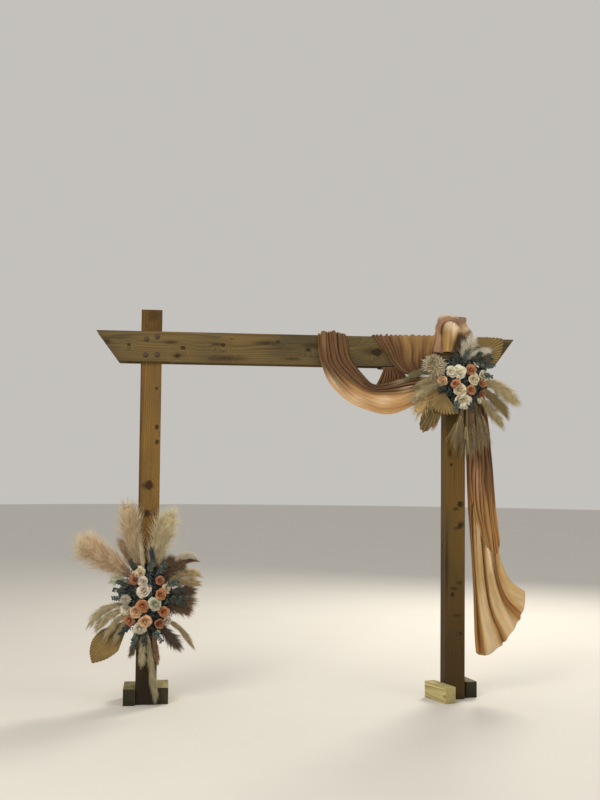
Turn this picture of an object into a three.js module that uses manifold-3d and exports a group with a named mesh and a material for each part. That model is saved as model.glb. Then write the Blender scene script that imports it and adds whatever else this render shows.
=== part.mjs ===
// A timber wedding arbor: two square posts, a beam of two boards that clamp the posts between
// them, loose off-cuts beside the feet, draped cloth, and two sprays of dried and silk flowers.
// Millimetres, +Z up. The origin is on the ground, midway between the posts' centre lines.
// +X runs along the beam to the draped post, and -Y is the front, where the flowers are.

import * as THREE from 'three';
import { mergeVertices } from 'three/addons/utils/BufferGeometryUtils.js';
import Module from 'manifold-3d';

const wasm = await Module();
wasm.setup();

// Timber
const POST_SIDE = 140;
const POST_CHAMFER = 5;
const POST_HEIGHT = 2655;
const POST_SPACING = 2120;
const BEAM_TOP = 2504;
const BOARD_DEPTH = 205;
const BOARD_THICKNESS = 38;
const OVERHANG_LEFT = 370;
const OVERHANG_RIGHT = 410;
const END_SLANT = 152;
const BLOCK_WIDTH = 80;
const BLOCK_HEIGHT = 110;
const BLOCK_LENGTH = 262;

// What touches keeps this gap, and cloth is this thick
const CLEARANCE = 0.3;
const CLOTH_THICKNESS = 6;

// Sprays: the mound of foliage that carries each one
const LOWER_SPRAY = {
  centre: [-1060, -68, 700], halfSizes: [185, 105, 250], face: -POST_SIDE / 2,
};
const UPPER_SPRAY = {
  centre: [1085, -100, 2205], halfSizes: [195, 105, 190], face: -POST_SIDE / 2,
};

const POST_X = POST_SPACING / 2;
const HALF_POST = POST_SIDE / 2;
const BEAM_BOTTOM = BEAM_TOP - BOARD_DEPTH;
const BOARD_INNER = HALF_POST + CLEARANCE;
const BOARD_OUTER = BOARD_INNER + BOARD_THICKNESS;
const CLOTH_OFF = CLOTH_THICKNESS / 2 + CLEARANCE;
const CLOTH_FACE = BOARD_OUTER + CLOTH_OFF;
const CLOTH_TOP = BEAM_TOP + CLOTH_OFF;
const CLOTH_UNDER = BEAM_BOTTOM - CLOTH_OFF;

const finish = (color, roughness) => new THREE.MeshStandardMaterial({ color, roughness, metalness: 0 });
const MATERIALS = {
  post: finish(0x8a6a3e, 0.8),
  beam: finish(0x8c7650, 0.8),
  block: finish(0xb09a74, 0.85),
  drape: finish(0x8f6a55, 0.9),
  foliage: finish(0x33474a, 0.9),
  bloomWarm: finish(0xc9764a, 0.8),
  bloomPale: finish(0xe4d3bd, 0.8),
  pampas: finish(0xc4a47c, 0.95),
  cream: finish(0xd9c9a3, 0.95),
  bronze: finish(0x6b4d36, 0.95),
  plum: finish(0x5c4038, 0.95),
  palm: finish(0xb08f5c, 0.85),
  wheat: finish(0x9a8358, 0.9),
};

// A closed geometry as a solid: shared corners merged, slivers at poles dropped, faces outward.
function toSolid(geometry) {
  const bare = new THREE.BufferGeometry();
  bare.setAttribute('position', geometry.attributes.position.clone());
  if (geometry.index) bare.setIndex(geometry.index.clone());
  const merged = mergeVertices(bare, 1e-3);
  const corners = merged.index.array;
  const point = (k) => new THREE.Vector3().fromBufferAttribute(merged.attributes.position, k);
  const triangles = [];
  let volume = 0;
  for (let i = 0; i < corners.length; i += 3) {
    const [a, b, c] = [corners[i], corners[i + 1], corners[i + 2]];
    if (a === b || b === c || c === a) continue;
    triangles.push([a, b, c]);
    const [p, q, r] = [a, b, c].map(point);
    volume += p.dot(q.cross(r));
  }
  const outward = volume > 0 ? triangles : triangles.map(([a, b, c]) => [a, c, b]);
  return new wasm.Manifold(new wasm.Mesh({
    numProp: 3,
    vertProperties: new Float32Array(merged.attributes.position.array),
    triVerts: new Uint32Array(outward.flat()),
  }));
}

// Moves every vertex of a geometry by a function of its own position.
function reshape(geometry, move) {
  const positions = geometry.attributes.position;
  const p = new THREE.Vector3();
  for (let i = 0; i < positions.count; i += 1) {
    p.fromBufferAttribute(positions, i);
    move(p);
    positions.setXYZ(i, p.x, p.y, p.z);
  }
  return geometry;
}

const joined = (solids) => solids.reduce((whole, next) => whole.add(next));
const smooth = (t) => t * t * (3 - 2 * t);

// Timber: each function takes how far the shape grows on every side, and gives a solid.

const squarePost = (x) => (grow) => {
  const half = HALF_POST + grow;
  const cut = half - POST_CHAMFER;
  const outline = new THREE.Shape([
    [cut, -half], [half, -cut], [half, cut], [cut, half],
    [-cut, half], [-half, cut], [-half, -cut], [-cut, -half],
  ].map(([a, b]) => new THREE.Vector2(a, b)));
  const post = new THREE.ExtrudeGeometry(outline, { depth: POST_HEIGHT + grow, bevelEnabled: false });
  return toSolid(post.translate(x, 0, 0));
};

const beamBoard = (yLow) => (grow) => {
  const left = -POST_X - OVERHANG_LEFT - grow;
  const right = POST_X + OVERHANG_RIGHT + grow;
  const outline = new THREE.Shape([
    [left, BEAM_TOP + grow], [left + END_SLANT, BEAM_BOTTOM - grow],
    [right - END_SLANT, BEAM_BOTTOM - grow], [right, BEAM_TOP + grow],
  ].map(([a, b]) => new THREE.Vector2(a, b)));
  const board = new THREE.ExtrudeGeometry(outline, { depth: BOARD_THICKNESS + 2 * grow, bevelEnabled: false });
  return toSolid(board.rotateX(Math.PI / 2).translate(0, yLow + BOARD_THICKNESS + grow, 0));
};

// An off-cut whose long side lies against a corner or a side of a post, turned about Z.
const footBlock = (cornerX, cornerY, side, turn, along) => (grow) => {
  const block = new THREE.BoxGeometry(BLOCK_WIDTH + 2 * grow, BLOCK_LENGTH + 2 * grow, BLOCK_HEIGHT + 2 * grow);
  const seat = (BLOCK_WIDTH / 2 + CLEARANCE) * side;
  block.translate(seat, along, BLOCK_HEIGHT / 2).rotateZ(turn).translate(cornerX, cornerY, 0);
  return toSolid(block);
};

// Cloth: a sheet of even thickness between two edges, given row by row along its run. Folds
// stand outward from the timber, and v crosses the width from the left edge to the right.

const curveThrough = (points) => new THREE.CatmullRomCurve3(
  points.map(([x, y, z]) => new THREE.Vector3(x, y, z)), false, 'centripetal');

// An edge lies straight from point to point on the timber, then hangs in a curve.
const clothEdge = (laid, hanging, steps) => [
  ...laid.map(([x, y, z]) => new THREE.Vector3(x, y, z)),
  ...curveThrough([laid[laid.length - 1], ...hanging]).getPoints(steps).slice(1),
];

const clothSheet = (left, right, stepsV, fold) => (grow) => {
  const last = left.length - 1;
  const row = (i, v) => left[i].clone().lerp(right[i], v);
  const sheet = new THREE.BoxGeometry(1, 1, 1, last, stepsV, 1);
  return toSolid(reshape(sheet, (p) => {
    const i = Math.round((p.x + 0.5) * last);
    const v = p.y + 0.5;
    const before = row(Math.max(0, i - 1), v);
    const after = row(Math.min(last, i + 1), v);
    const here = row(i, v);
    const arriving = here.clone().sub(before).normalize();
    const leaving = after.clone().sub(here).normalize();
    const alongU = arriving.add(leaving).normalize();
    const alongV = right[i].clone().sub(left[i]).normalize();
    const outward = alongU.clone().cross(alongV).normalize();
    const lift = fold(i / last, v) + p.z * (CLOTH_THICKNESS + 2 * grow);
    here.addScaledVector(outward, lift);
    here.addScaledVector(alongU, (Number(i === last) - Number(i === 0)) * grow);
    here.addScaledVector(alongV, (Number(v > 0.999) - Number(v < 0.001)) * grow);
    p.copy(here);
  }));
};

const foldWave = (count, v) => (1 - Math.cos(2 * Math.PI * count * v)) / 2;

// The swag comes over the beam in a bunch and falls to the right, up behind the flowers.
const swag = clothSheet(
  clothEdge([
    [130, CLOTH_FACE, 2330], [122, CLOTH_FACE, 2420], [110, CLOTH_FACE, CLOTH_TOP], [104, HALF_POST, CLOTH_TOP],
    [96, 0, CLOTH_TOP - 6], [84, -HALF_POST, CLOTH_TOP], [75, -CLOTH_FACE, CLOTH_TOP],
  ], [
    [80, -CLOTH_FACE, 2390], [102, -CLOTH_FACE, 2290], [150, -120, 2175], [266, -125, 2060],
    [406, -128, 1994], [582, -128, 1964], [760, -128, 2035], [930, -124, 2130],
  ], 24),
  clothEdge([
    [250, CLOTH_FACE, 2330], [252, CLOTH_FACE, 2420], [255, CLOTH_FACE, CLOTH_TOP], [258, HALF_POST, CLOTH_TOP],
    [261, 0, CLOTH_TOP - 6], [264, -HALF_POST, CLOTH_TOP], [268, -CLOTH_FACE, CLOTH_TOP],
  ], [
    [290, -CLOTH_FACE, 2390], [348, -CLOTH_FACE, 2281], [426, -116, 2190], [482, -118, 2164],
    [560, -118, 2178], [686, -118, 2222], [800, -119, 2225], [930, -120, 2215],
  ], 24), 9, (u, v) => 12 * smooth(u) * foldWave(3, v));

// The wrap leaves the swag, passes under and behind the beam, comes over its top and is
// gathered down to the flowers.
const wrap = clothSheet(
  clothEdge([
    [525, -118, 2190], [518, -CLOTH_FACE, CLOTH_UNDER], [516, CLOTH_FACE, CLOTH_UNDER], [500, CLOTH_FACE, 2350],
    [462, CLOTH_FACE, CLOTH_TOP], [460, HALF_POST, CLOTH_TOP], [460, 0, CLOTH_TOP - 6],
    [462, -HALF_POST, CLOTH_TOP], [466, -CLOTH_FACE, CLOTH_TOP],
  ], [
    [505, -CLOTH_FACE, 2450], [544, -CLOTH_FACE, 2396], [602, -CLOTH_FACE, 2306], [680, -114, 2245],
    [770, -116, 2236],
  ], 12),
  clothEdge([
    [588, -118, 2196], [582, -CLOTH_FACE, CLOTH_UNDER], [620, CLOTH_FACE, CLOTH_UNDER], [760, CLOTH_FACE, 2350],
    [925, CLOTH_FACE, CLOTH_TOP], [925, HALF_POST, CLOTH_TOP], [925, 0, CLOTH_TOP - 6],
    [926, -HALF_POST, CLOTH_TOP], [927, -CLOTH_FACE, CLOTH_TOP],
  ], [
    [922, -CLOTH_FACE, 2460], [912, -CLOTH_FACE, 2420], [893, -CLOTH_FACE, 2350], [876, -CLOTH_FACE, 2300],
    [866, -114, 2272],
  ], 12), 10, (u, v) => 7 * foldWave(4, v));

// The tail falls beside the draped post to a slanting hem with one flared corner.
const tail = clothSheet(
  clothEdge([[1137, -45, 2450]], [
    [1138, -45, 2300], [1142, -35, 1990], [1149, -25, 1795], [1165, -15, 1373], [1187, -10, 1093],
    [1209, -10, 744], [1222, -10, 500], [1238, -10, 275],
  ], 20),
  clothEdge([[1137, 45, 2450]], [
    [1200, 45, 2300], [1296, 30, 1990], [1326, 10, 1700], [1342, -5, 1340], [1378, -10, 1120],
    [1419, -15, 885], [1500, -20, 755], [1594, -25, 672],
  ], 20), 12, (u, v) => 20 * Math.sin(2 * Math.PI * (3 * v + 0.1)) * Math.min(1, 2 * u));

// The hood is gathered over the post's top: rounded rings stacked up the post, a little fluted.
const HOOD_RINGS = [
  // height, left, right, front, back
  [2395, 945, 1138, -150, 76], [2455, 905, 1142, -150, 84], [2530, 905, 1146, -140, 92],
  [2600, 935, 1146, -122, 92], [2650, 975, 1128, -96, 84], [2684, 1020, 1086, -50, 40],
];
const hood = (grow) => {
  const sides = 20;
  const ends = [HOOD_RINGS[0], HOOD_RINGS[HOOD_RINGS.length - 1]];
  const tube = new THREE.CylinderGeometry(1, 1, HOOD_RINGS.length - 1, sides, HOOD_RINGS.length - 1);
  return toSolid(reshape(tube, (p) => {
    const row = p.y + (HOOD_RINGS.length - 1) / 2;
    const [z, left, right, front, back] = HOOD_RINGS[Math.round(row)];
    const angle = Math.atan2(p.z, p.x);
    const reach = Math.hypot(p.x, p.z) * (1 + 0.03 * Math.cos(5 * angle));
    const x = (left + right) / 2 + Math.cos(angle) * reach * ((right - left) / 2 + grow);
    const y = (front + back) / 2 - Math.sin(angle) * reach * ((back - front) / 2 + grow);
    const rise = z === ends[0][0] ? -grow : z === ends[1][0] ? grow : 0;
    p.set(x, y, z + rise);
  }));
};

// Flowers

const mound = ({ centre: [x, y, z], halfSizes: [a, b, c] }) => (grow) => {
  const ball = new THREE.SphereGeometry(1, 14, 9).rotateX(Math.PI / 2);
  return toSolid(reshape(ball, (p) => {
    const lobes = 1 + 0.05 * Math.sin(5 * p.x + 1) * Math.cos(4 * p.z);
    p.set(x + p.x * lobes * (a + grow), y + p.y * (b + grow), z + p.z * lobes * (c + grow));
  }));
};

// Where a flower head stands on a mound, and the way it faces.
function seatOnMound(spray, x, z) {
  const [cx, cy, cz] = spray.centre;
  const [a, b, c] = spray.halfSizes;
  const out = Math.sqrt(Math.max(0.06, 1 - (x / a) ** 2 - (z / c) ** 2));
  const seat = new THREE.Vector3(cx + x, cy - b * out, cz + z);
  const facing = new THREE.Vector3(x / a ** 2, -out / b, z / c ** 2).normalize();
  return { seat, facing };
}

// A rose head: a cupped profile turned about its stem, radius r.
const BLOOM_PROFILE = [[0, -0.6], [0.9, -0.15], [0.95, 0.2], [0.55, 0.5], [0, 0.42]];
function bloomHead(seat, facing, r, grow) {
  const profile = BLOOM_PROFILE.map(([a, b]) => new THREE.Vector2(a * (r + grow), b * (r + grow)));
  const head = new THREE.LatheGeometry(profile, 7);
  const turn = new THREE.Quaternion().setFromUnitVectors(new THREE.Vector3(0, 1, 0), facing);
  head.applyQuaternion(turn).translate(seat.x, seat.y, seat.z);
  return toSolid(head);
}

const STEM_RADIUS = 6;
function stem(from, to, grow) {
  const length = from.distanceTo(to);
  const rod = new THREE.CylinderGeometry(STEM_RADIUS + grow, STEM_RADIUS + grow, length + 2 * grow, 4);
  const along = to.clone().sub(from).normalize();
  rod.applyQuaternion(new THREE.Quaternion().setFromUnitVectors(new THREE.Vector3(0, 1, 0), along));
  const middle = from.clone().lerp(to, 0.5);
  return toSolid(rod.translate(middle.x, middle.y, middle.z));
}

// Flower heads on one mound whose stems meet at a point inside it.
const bloomCluster = (spray, heads) => (grow) => {
  const seats = heads.map(([x, z, r]) => ({ r, ...seatOnMound(spray, x, z) }));
  const meeting = new THREE.Vector3();
  seats.forEach(({ seat }) => meeting.addScaledVector(seat, 1 / seats.length));
  meeting.y = spray.centre[1] - 0.3 * spray.halfSizes[1];
  return joined(seats.flatMap(({ seat, facing, r }) => [
    bloomHead(seat, facing, r, grow), stem(seat, meeting, grow),
  ]));
};

// A plume: a spindle bent along a curve from its base to its tip, flatter front to back.
const PLUME_FLATNESS = 0.62;
const PLUME_PROFILE = [[0, 0], [0.16, 0.03], [0.5, 0.2], [0.95, 0.5], [0.9, 0.68], [0.5, 0.88], [0, 1]];
function plumeBody([base, bend, tip, radius], grow) {
  const path = new THREE.QuadraticBezierCurve3(
    new THREE.Vector3(...base), new THREE.Vector3(...bend), new THREE.Vector3(...tip));
  const profile = PLUME_PROFILE.map(([r, t]) => new THREE.Vector2(r * (radius + grow) + (r ? grow : 0), t));
  const spindle = new THREE.LatheGeometry(profile, 8);
  return toSolid(reshape(spindle, (p) => {
    const along = path.getTangent(p.y);
    const across = new THREE.Vector3(0, -1, 0).cross(along).normalize();
    const outward = along.clone().cross(across).normalize();
    const end = p.y === 1 ? grow : 0;
    const centre = path.getPoint(p.y).addScaledVector(along, end);
    p.copy(centre.addScaledVector(across, p.x).addScaledVector(outward, p.z * PLUME_FLATNESS));
  }));
}

// Plume rows are [base, bend, tip, radius] in millimetres from the spray's centre.
const plumes = (spray, rows) => (grow) => {
  const centre = new THREE.Vector3(...spray.centre);
  const placed = rows.map(([base, bend, tip, radius]) => [
    ...[base, bend, tip].map((point) => new THREE.Vector3(...point).add(centre).toArray()), radius,
  ]);
  return joined(placed.map((row) => plumeBody(row, grow)));
};

// A trimmed palm leaf: a thin fan with a notch between its ribs, longest along its middle rib.
const PALM_RIBS = 9;
const PALM_NOTCH = 12;
const PALM_THICKNESS = 7;
const palmFan = (spray, [hubX, hubY, hubZ], aim, spread, reach, shortest) => (grow) => {
  const [cx, cy, cz] = spray.centre;
  const rim = [];
  for (let i = 0; i <= 2 * PALM_RIBS; i += 1) {
    const t = i / PALM_RIBS - 1;
    const angle = THREE.MathUtils.degToRad(aim + spread * t);
    const long = THREE.MathUtils.lerp(reach, shortest, Math.abs(t) ** 1.3);
    const r = long - (i % 2 ? PALM_NOTCH : 0) + grow;
    rim.push(new THREE.Vector2(r * Math.cos(angle), r * Math.sin(angle)));
  }
  const outline = new THREE.Shape([new THREE.Vector2(0, 0), ...rim]);
  const fan = new THREE.ExtrudeGeometry(outline, { depth: PALM_THICKNESS + 2 * grow, bevelEnabled: false });
  fan.rotateX(Math.PI / 2).translate(cx + hubX, cy + hubY + grow, cz + hubZ);
  return toSolid(fan);
};

// Building: each new piece is cut back from the pieces placed before it.

const arbor = new THREE.Group();
const placed = [];

function boxesMeet(a, b) {
  return [0, 1, 2].every((k) => a.min[k] <= b.max[k] && b.min[k] <= a.max[k]);
}

function place(group, name, material, shape, trim) {
  let solid = shape(0);
  if (trim) solid = solid.subtract(trim);
  for (const other of placed) {
    if (boxesMeet(solid.boundingBox(), other.grown.boundingBox())) solid = solid.subtract(other.grown);
  }
  const bodies = solid.decompose().sort((a, b) => b.volume() - a.volume());
  const body = bodies[0];
  placed.push({ grown: trim ? shape(CLEARANCE).subtract(trim) : shape(CLEARANCE) });
  const { vertProperties, triVerts } = body.getMesh();
  const geometry = new THREE.BufferGeometry();
  geometry.setAttribute('position', new THREE.BufferAttribute(vertProperties, 3));
  geometry.setIndex(new THREE.BufferAttribute(triVerts, 1));
  geometry.computeBoundingBox();
  const anchor = geometry.boundingBox.getCenter(new THREE.Vector3());
  geometry.translate(-anchor.x, -anchor.y, -anchor.z);
  geometry.computeVertexNormals();
  const mesh = new THREE.Mesh(geometry, material);
  mesh.name = name;
  mesh.position.copy(anchor);
  group.add(mesh);
}

const timber = new THREE.Group();
place(timber, 'left_post', MATERIALS.post, squarePost(-POST_X));
place(timber, 'right_post', MATERIALS.post, squarePost(POST_X));
place(timber, 'front_beam_board', MATERIALS.beam, beamBoard(-BOARD_OUTER));
place(timber, 'back_beam_board', MATERIALS.beam, beamBoard(BOARD_INNER));
const degree = Math.PI / 180;
place(timber, 'left_foot_block_outer', MATERIALS.block, footBlock(-POST_X - HALF_POST, 0, -1, 0, 33));
place(timber, 'left_foot_block_inner', MATERIALS.block, footBlock(-POST_X + HALF_POST, 0, 1, 0, 69));
place(timber, 'right_foot_block_inner', MATERIALS.block,
  footBlock(POST_X - HALF_POST, POST_CHAMFER - HALF_POST, -1, 20 * degree, 1));
place(timber, 'right_foot_block_outer', MATERIALS.block,
  footBlock(POST_X + HALF_POST, HALF_POST - POST_CHAMFER, 1, 12 * degree, 26));

const drapery = new THREE.Group();
place(drapery, 'drape_hood', MATERIALS.drape, hood);
place(drapery, 'drape_swag', MATERIALS.drape, swag);
place(drapery, 'drape_beam_wrap', MATERIALS.drape, wrap);
place(drapery, 'drape_tail', MATERIALS.drape, tail);

// Everything behind a spray's face is trimmed off its mound, by a slab much larger than the spray.
function behind({ centre, face, halfSizes }) {
  const slab = 6 * halfSizes[2];
  const box = new THREE.BoxGeometry(slab, slab, slab);
  return toSolid(box.translate(centre[0], face - CLEARANCE + slab / 2, centre[2]));
}

const lower = new THREE.Group();
const upper = new THREE.Group();

const LOWER_BLOOMS = {
  lower_blooms_top: [[-51, 186, 42], [-83, 141, 38], [-30, 130, 36], [-22, 70, 45]],
  lower_blooms_left: [[-134, 7, 38], [-140, -61, 35], [-72, -65, 42], [-115, -129, 40], [-29, -30, 46]],
  lower_blooms_right: [[83, 133, 34], [131, 82, 38], [90, 42, 41], [51, -17, 48], [111, -74, 39]],
  lower_blooms_bottom: [[-10, -134, 45], [-45, -180, 47], [84, -153, 37], [132, -140, 34]],
};
const UPPER_BLOOMS = {
  upper_blooms_left: [[-150, -7, 38], [-83, 58, 36], [-34, 52, 44]],
  upper_blooms_centre: [[-62, -28, 36], [-27, -68, 46], [4, -141, 50]],
  upper_blooms_right: [[52, 72, 40], [70, 9, 38], [51, -66, 36], [108, 128, 32]],
  upper_blooms_outer: [[150, 35, 36], [138, -20, 32], [140, -90, 28], [118, -128, 32]],
};
for (const [name, heads] of Object.entries(LOWER_BLOOMS)) {
  place(lower, name, MATERIALS.bloomWarm, bloomCluster(LOWER_SPRAY, heads));
}
for (const [name, heads] of Object.entries(UPPER_BLOOMS)) {
  place(upper, name, MATERIALS.bloomPale, bloomCluster(UPPER_SPRAY, heads));
}
place(lower, 'lower_foliage', MATERIALS.foliage, mound(LOWER_SPRAY), behind(LOWER_SPRAY));
place(upper, 'upper_foliage', MATERIALS.foliage, mound(UPPER_SPRAY), behind(UPPER_SPRAY));

const LOWER_PLUMES = [
  ['lower_pampas_left', MATERIALS.pampas, [[[-90, -30, 130], [-300, -50, 330], [-505, -60, 424], 92]]],
  ['lower_pampas_up_left', MATERIALS.pampas, [[[-60, -25, 170], [-105, -40, 450], [-167, -50, 665], 66]]],
  ['lower_pampas_up_right', MATERIALS.cream, [[[30, -25, 170], [70, -40, 420], [187, -50, 605], 74]]],
  ['lower_plume_bronze', MATERIALS.bronze, [
    [[60, -25, 150], [160, -45, 280], [262, -50, 268], 56],
    [[60, -25, 150], [210, -60, 360], [318, -62, 284], 26],
  ]],
  ['lower_plume_tan', MATERIALS.wheat, [[[100, -20, 120], [230, -40, 160], [352, -50, 107], 44]]],
  ['lower_plumes_rust', MATERIALS.bronze, [
    [[80, -20, -10], [200, -40, 40], [322, -50, 46], 46],
    [[80, -20, -10], [200, -50, -50], [302, -60, -76], 42],
  ]],
  ['lower_plumes_plum', MATERIALS.plum, [
    [[60, -20, -130], [160, -40, -250], [244, -50, -329], 46],
    [[60, -20, -130], [220, -50, -160], [300, -50, -299], 22],
  ]],
  ['lower_plumes_hanging', MATERIALS.cream, [
    [[-10, -25, -180], [-20, -40, -330], [-27, -45, -448], 32],
    [[-10, -25, -180], [40, -35, -450], [68, -35, -672], 38],
  ]],
  ['lower_pampas_cream', MATERIALS.cream, [[[-100, -25, -40], [-260, -50, -50], [-366, -55, -170], 66]]],
  ['lower_tuft_green', MATERIALS.cream, [[[-90, -25, 70], [-190, -50, 140], [-268, -50, 122], 36]]],
  ['lower_spike', MATERIALS.foliage, [[[40, -45, 160], [40, -70, 260], [21, -75, 352], 16]]],
];
for (const [name, material, rows] of LOWER_PLUMES) place(lower, name, material, plumes(LOWER_SPRAY, rows));
place(lower, 'lower_palm_fan', MATERIALS.palm, palmFan(LOWER_SPRAY, [-110, -25, -130], 228, 28, 370, 165));

const UPPER_PLUMES = [
  ['upper_plume_top', MATERIALS.cream, [
    [[0, -40, 130], [10, -50, 260], [100, -55, 325], 62],
    [[0, -40, 130], [100, -75, 230], [207, -80, 217], 27],
  ]],
  ['upper_plume_right_high', MATERIALS.cream, [[[110, -35, 20], [280, -60, -20], [425, -70, -172], 46]]],
  ['upper_plume_right_mid', MATERIALS.wheat, [[[110, -35, -40], [230, -60, -100], [337, -70, -255], 40]]],
  ['upper_plume_right_low', MATERIALS.cream, [[[90, -35, -90], [190, -60, -190], [295, -70, -330], 28]]],
  ['upper_plumes_left', MATERIALS.cream, [
    [[-120, -30, 30], [-270, -60, 40], [-418, -60, 8], 30],
    [[-120, -30, 30], [-240, -60, -50], [-371, -60, -151], 44],
  ]],
  ['upper_plume_gold', MATERIALS.pampas, [[[-110, -20, -60], [-230, -35, -170], [-331, -40, -275], 66]]],
  ['upper_spiky_flower', MATERIALS.cream, [[[-120, -40, 60], [-180, -90, 80], [-272, -130, 108], 52]]],
  ['upper_wheat', MATERIALS.wheat, [
    [[30, -35, -130], [0, -60, -280], [-53, -60, -397], 24],
    [[30, -35, -130], [30, -65, -330], [48, -60, -476], 30],
    [[30, -35, -130], [110, -60, -260], [178, -60, -383], 26],
  ]],
];
for (const [name, material, rows] of UPPER_PLUMES) place(upper, name, material, plumes(UPPER_SPRAY, rows));
place(upper, 'upper_palm_fan_right', MATERIALS.palm, palmFan(UPPER_SPRAY, [40, -45, 150], 24, 33, 335, 180));
place(upper, 'upper_palm_fan_left', MATERIALS.palm, palmFan(UPPER_SPRAY, [-120, -45, -45], 256, 34, 365, 180));

arbor.add(timber, drapery, lower, upper);

export default arbor;
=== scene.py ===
"""The looks of a draped timber wedding arbor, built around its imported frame.

Lengths are in metres. The posts stand on the ground at Z 0, X runs along the beam to the draped
post, and the flowers are on the front, which faces -Y.
"""

import functools

import bpy
import numpy as np
from bpy.props import FloatProperty, FloatVectorProperty, IntProperty, PointerProperty
from mathutils import Matrix


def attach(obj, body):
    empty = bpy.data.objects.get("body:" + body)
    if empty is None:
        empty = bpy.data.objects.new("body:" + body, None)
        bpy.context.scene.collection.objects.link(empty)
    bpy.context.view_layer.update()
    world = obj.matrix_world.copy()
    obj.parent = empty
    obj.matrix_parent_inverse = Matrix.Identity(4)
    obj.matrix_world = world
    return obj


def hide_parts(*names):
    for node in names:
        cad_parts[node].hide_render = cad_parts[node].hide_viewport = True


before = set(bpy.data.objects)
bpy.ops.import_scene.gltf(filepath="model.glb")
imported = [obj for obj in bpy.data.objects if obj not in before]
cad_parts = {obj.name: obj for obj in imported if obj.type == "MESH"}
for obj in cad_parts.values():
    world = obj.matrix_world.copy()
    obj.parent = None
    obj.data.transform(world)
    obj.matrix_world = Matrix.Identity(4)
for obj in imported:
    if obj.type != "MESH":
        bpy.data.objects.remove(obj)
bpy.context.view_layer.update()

bl_info = {
    "name": "Draped timber arbor",
    "version": (1, 0, 0),
    "blender": (4, 5, 0),
    "location": "View3D > Sidebar > Arbor",
    "description": "Builds the timber, cloth, flowers and plumes of a wedding arbor",
    "category": "Object",
}

MM = 0.001
TAU = 2 * np.pi
GOLDEN_ANGLE = 2.39996
GOLDEN_SHARE = 0.381966
ACROSS, FRONT, UP = np.array([(1.0, 0.0, 0.0), (0.0, -1.0, 0.0), (0.0, 0.0, 1.0)])

# Timber, as the frame has it
POST_X, HALF_POST = 1.06, 0.07
BEAM_TOP, BEAM_BOTTOM = 2.504, 2.299
BEAM_MIDDLE_X, BEAM_HALF_LENGTH = 0.02, 1.45
BOARD_INNER, BOARD_OUTER = 0.0703, 0.1083

# The centre and the half sizes of each spray's mound of leaves, and the post's face behind it
SPRAYS = {
    "lower": np.array([(-1060, -68, 700), (185, 105, 250)]) * MM,
    "upper": np.array([(1085, -100, 2205), (195, 105, 190)]) * MM,
}
SPRAY_BACK = -0.0703

# The seeds of the random draws, each counted up from one node or spray to the next
BLOOM_SEED, FOLIAGE_SEED, PLUME_SEED, SPIKY_SEED, WHEAT_SEED = 100, 300, 500, 700, 800


def spray_of(node):
    """The centre and the half sizes of the spray that a node's name begins with."""
    return SPRAYS[node.split("_")[0]]


def srgb(code):
    """The linear colour of a hexadecimal display colour."""
    shares = np.array([int(code[i : i + 2], 16) / 255 for i in (0, 2, 4)])
    return np.where(shares <= 0.04045, shares / 12.92, ((shares + 0.055) / 1.055) ** 2.4)


# Settings


def size(name, text, default, low=0.0, high=10.0):
    return FloatProperty(
        name=name, description=text, default=default, min=low, max=high, unit="LENGTH")


def count(name, text, default, low=1, high=5000):
    return IntProperty(name=name, description=text, default=default, min=low, max=high)


def colour(name, text, code):
    return FloatVectorProperty(name=name, description=text, default=srgb(code).tolist(), size=3,
                               min=0, max=1, subtype="COLOR")


class ArborTimber(bpy.types.PropertyGroup):
    post: colour("Left post", "Clean wood of the left post", "846432")
    post_dark: colour("Left post, dark", "Late wood and knots of the left post", "4c3418")
    # Painted shade: the right post's two colours are darker than the left post's, for the shade
    # that the right post stands in.
    right_post: colour("Right post", "Clean wood of the right post", "6d5223")
    right_post_dark: colour("Right post, dark", "Late wood and knots of the right post", "36260f")
    beam: colour("Beam", "Clean wood of the beam boards", "6f5c38")
    beam_dark: colour("Beam, dark", "Late wood and knots of the beam boards", "3c3119")
    stain: colour("Stain", "Grey weather stain", "3a372b")
    offcut: colour("Off-cut", "Sawn wood of the foot blocks", "80754e")
    pale_offcut: colour("Pale off-cut", "The one washed-out foot block", "c8ba80")
    ring_spacing: size("Ring spacing", "Distance between growth rings", 0.0065, 0.001, 0.05)
    eased_edge: size("Eased edge", "Radius of the boards' worn edges", 0.003, 0.0005, 0.01)
    bolt_head: size("Bolt head", "Width of a bolt head across its flats", 0.022, 0.005, 0.05)


class ArborDrape(bpy.types.PropertyGroup):
    shade: colour("Gathered", "Cloth where it is gathered", "86613f")
    light: colour("Single", "Cloth where one layer hangs", "cfa868")
    glow: colour("Glowing", "Folds that light comes through", "b8763c")
    # Painted shade: the dark brown of cloth in the hollows and gaps of the hood.
    deep: colour("Deep", "Cloth in the hollows of the hood", "2e1c10")
    mauve: colour("Mauve", "Rim of the hood, turned from the sun", "c0967a")
    # Painted sunlight: the sunlit cream on the hood's front and top, and in spots on the swag and
    # the tail.
    bright: colour("Bright", "Pale front of the hood", "fbe8c6")
    gold: colour("Gold", "Lone layer of the tail, with light behind it", "bfa659")
    cloth_width: size("Cloth width", "Width that the scarf was cut to", 0.70, 0.2, 2)
    hood_width: size("Hood width", "Width of the two ends over the post", 0.23, 0.1, 2)
    thickness: size("Thickness", "Thickness of the cloth", 0.0008, 0.0002, 0.004)
    swag_folds: count("Swag folds", "Folds across the swag", 9, 1, 30)
    wrap_folds: count("Wrap folds", "Folds across the beam wrap", 13, 1, 30)
    tail_folds: count("Tail folds", "Folds across the tail", 7, 1, 30)


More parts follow.
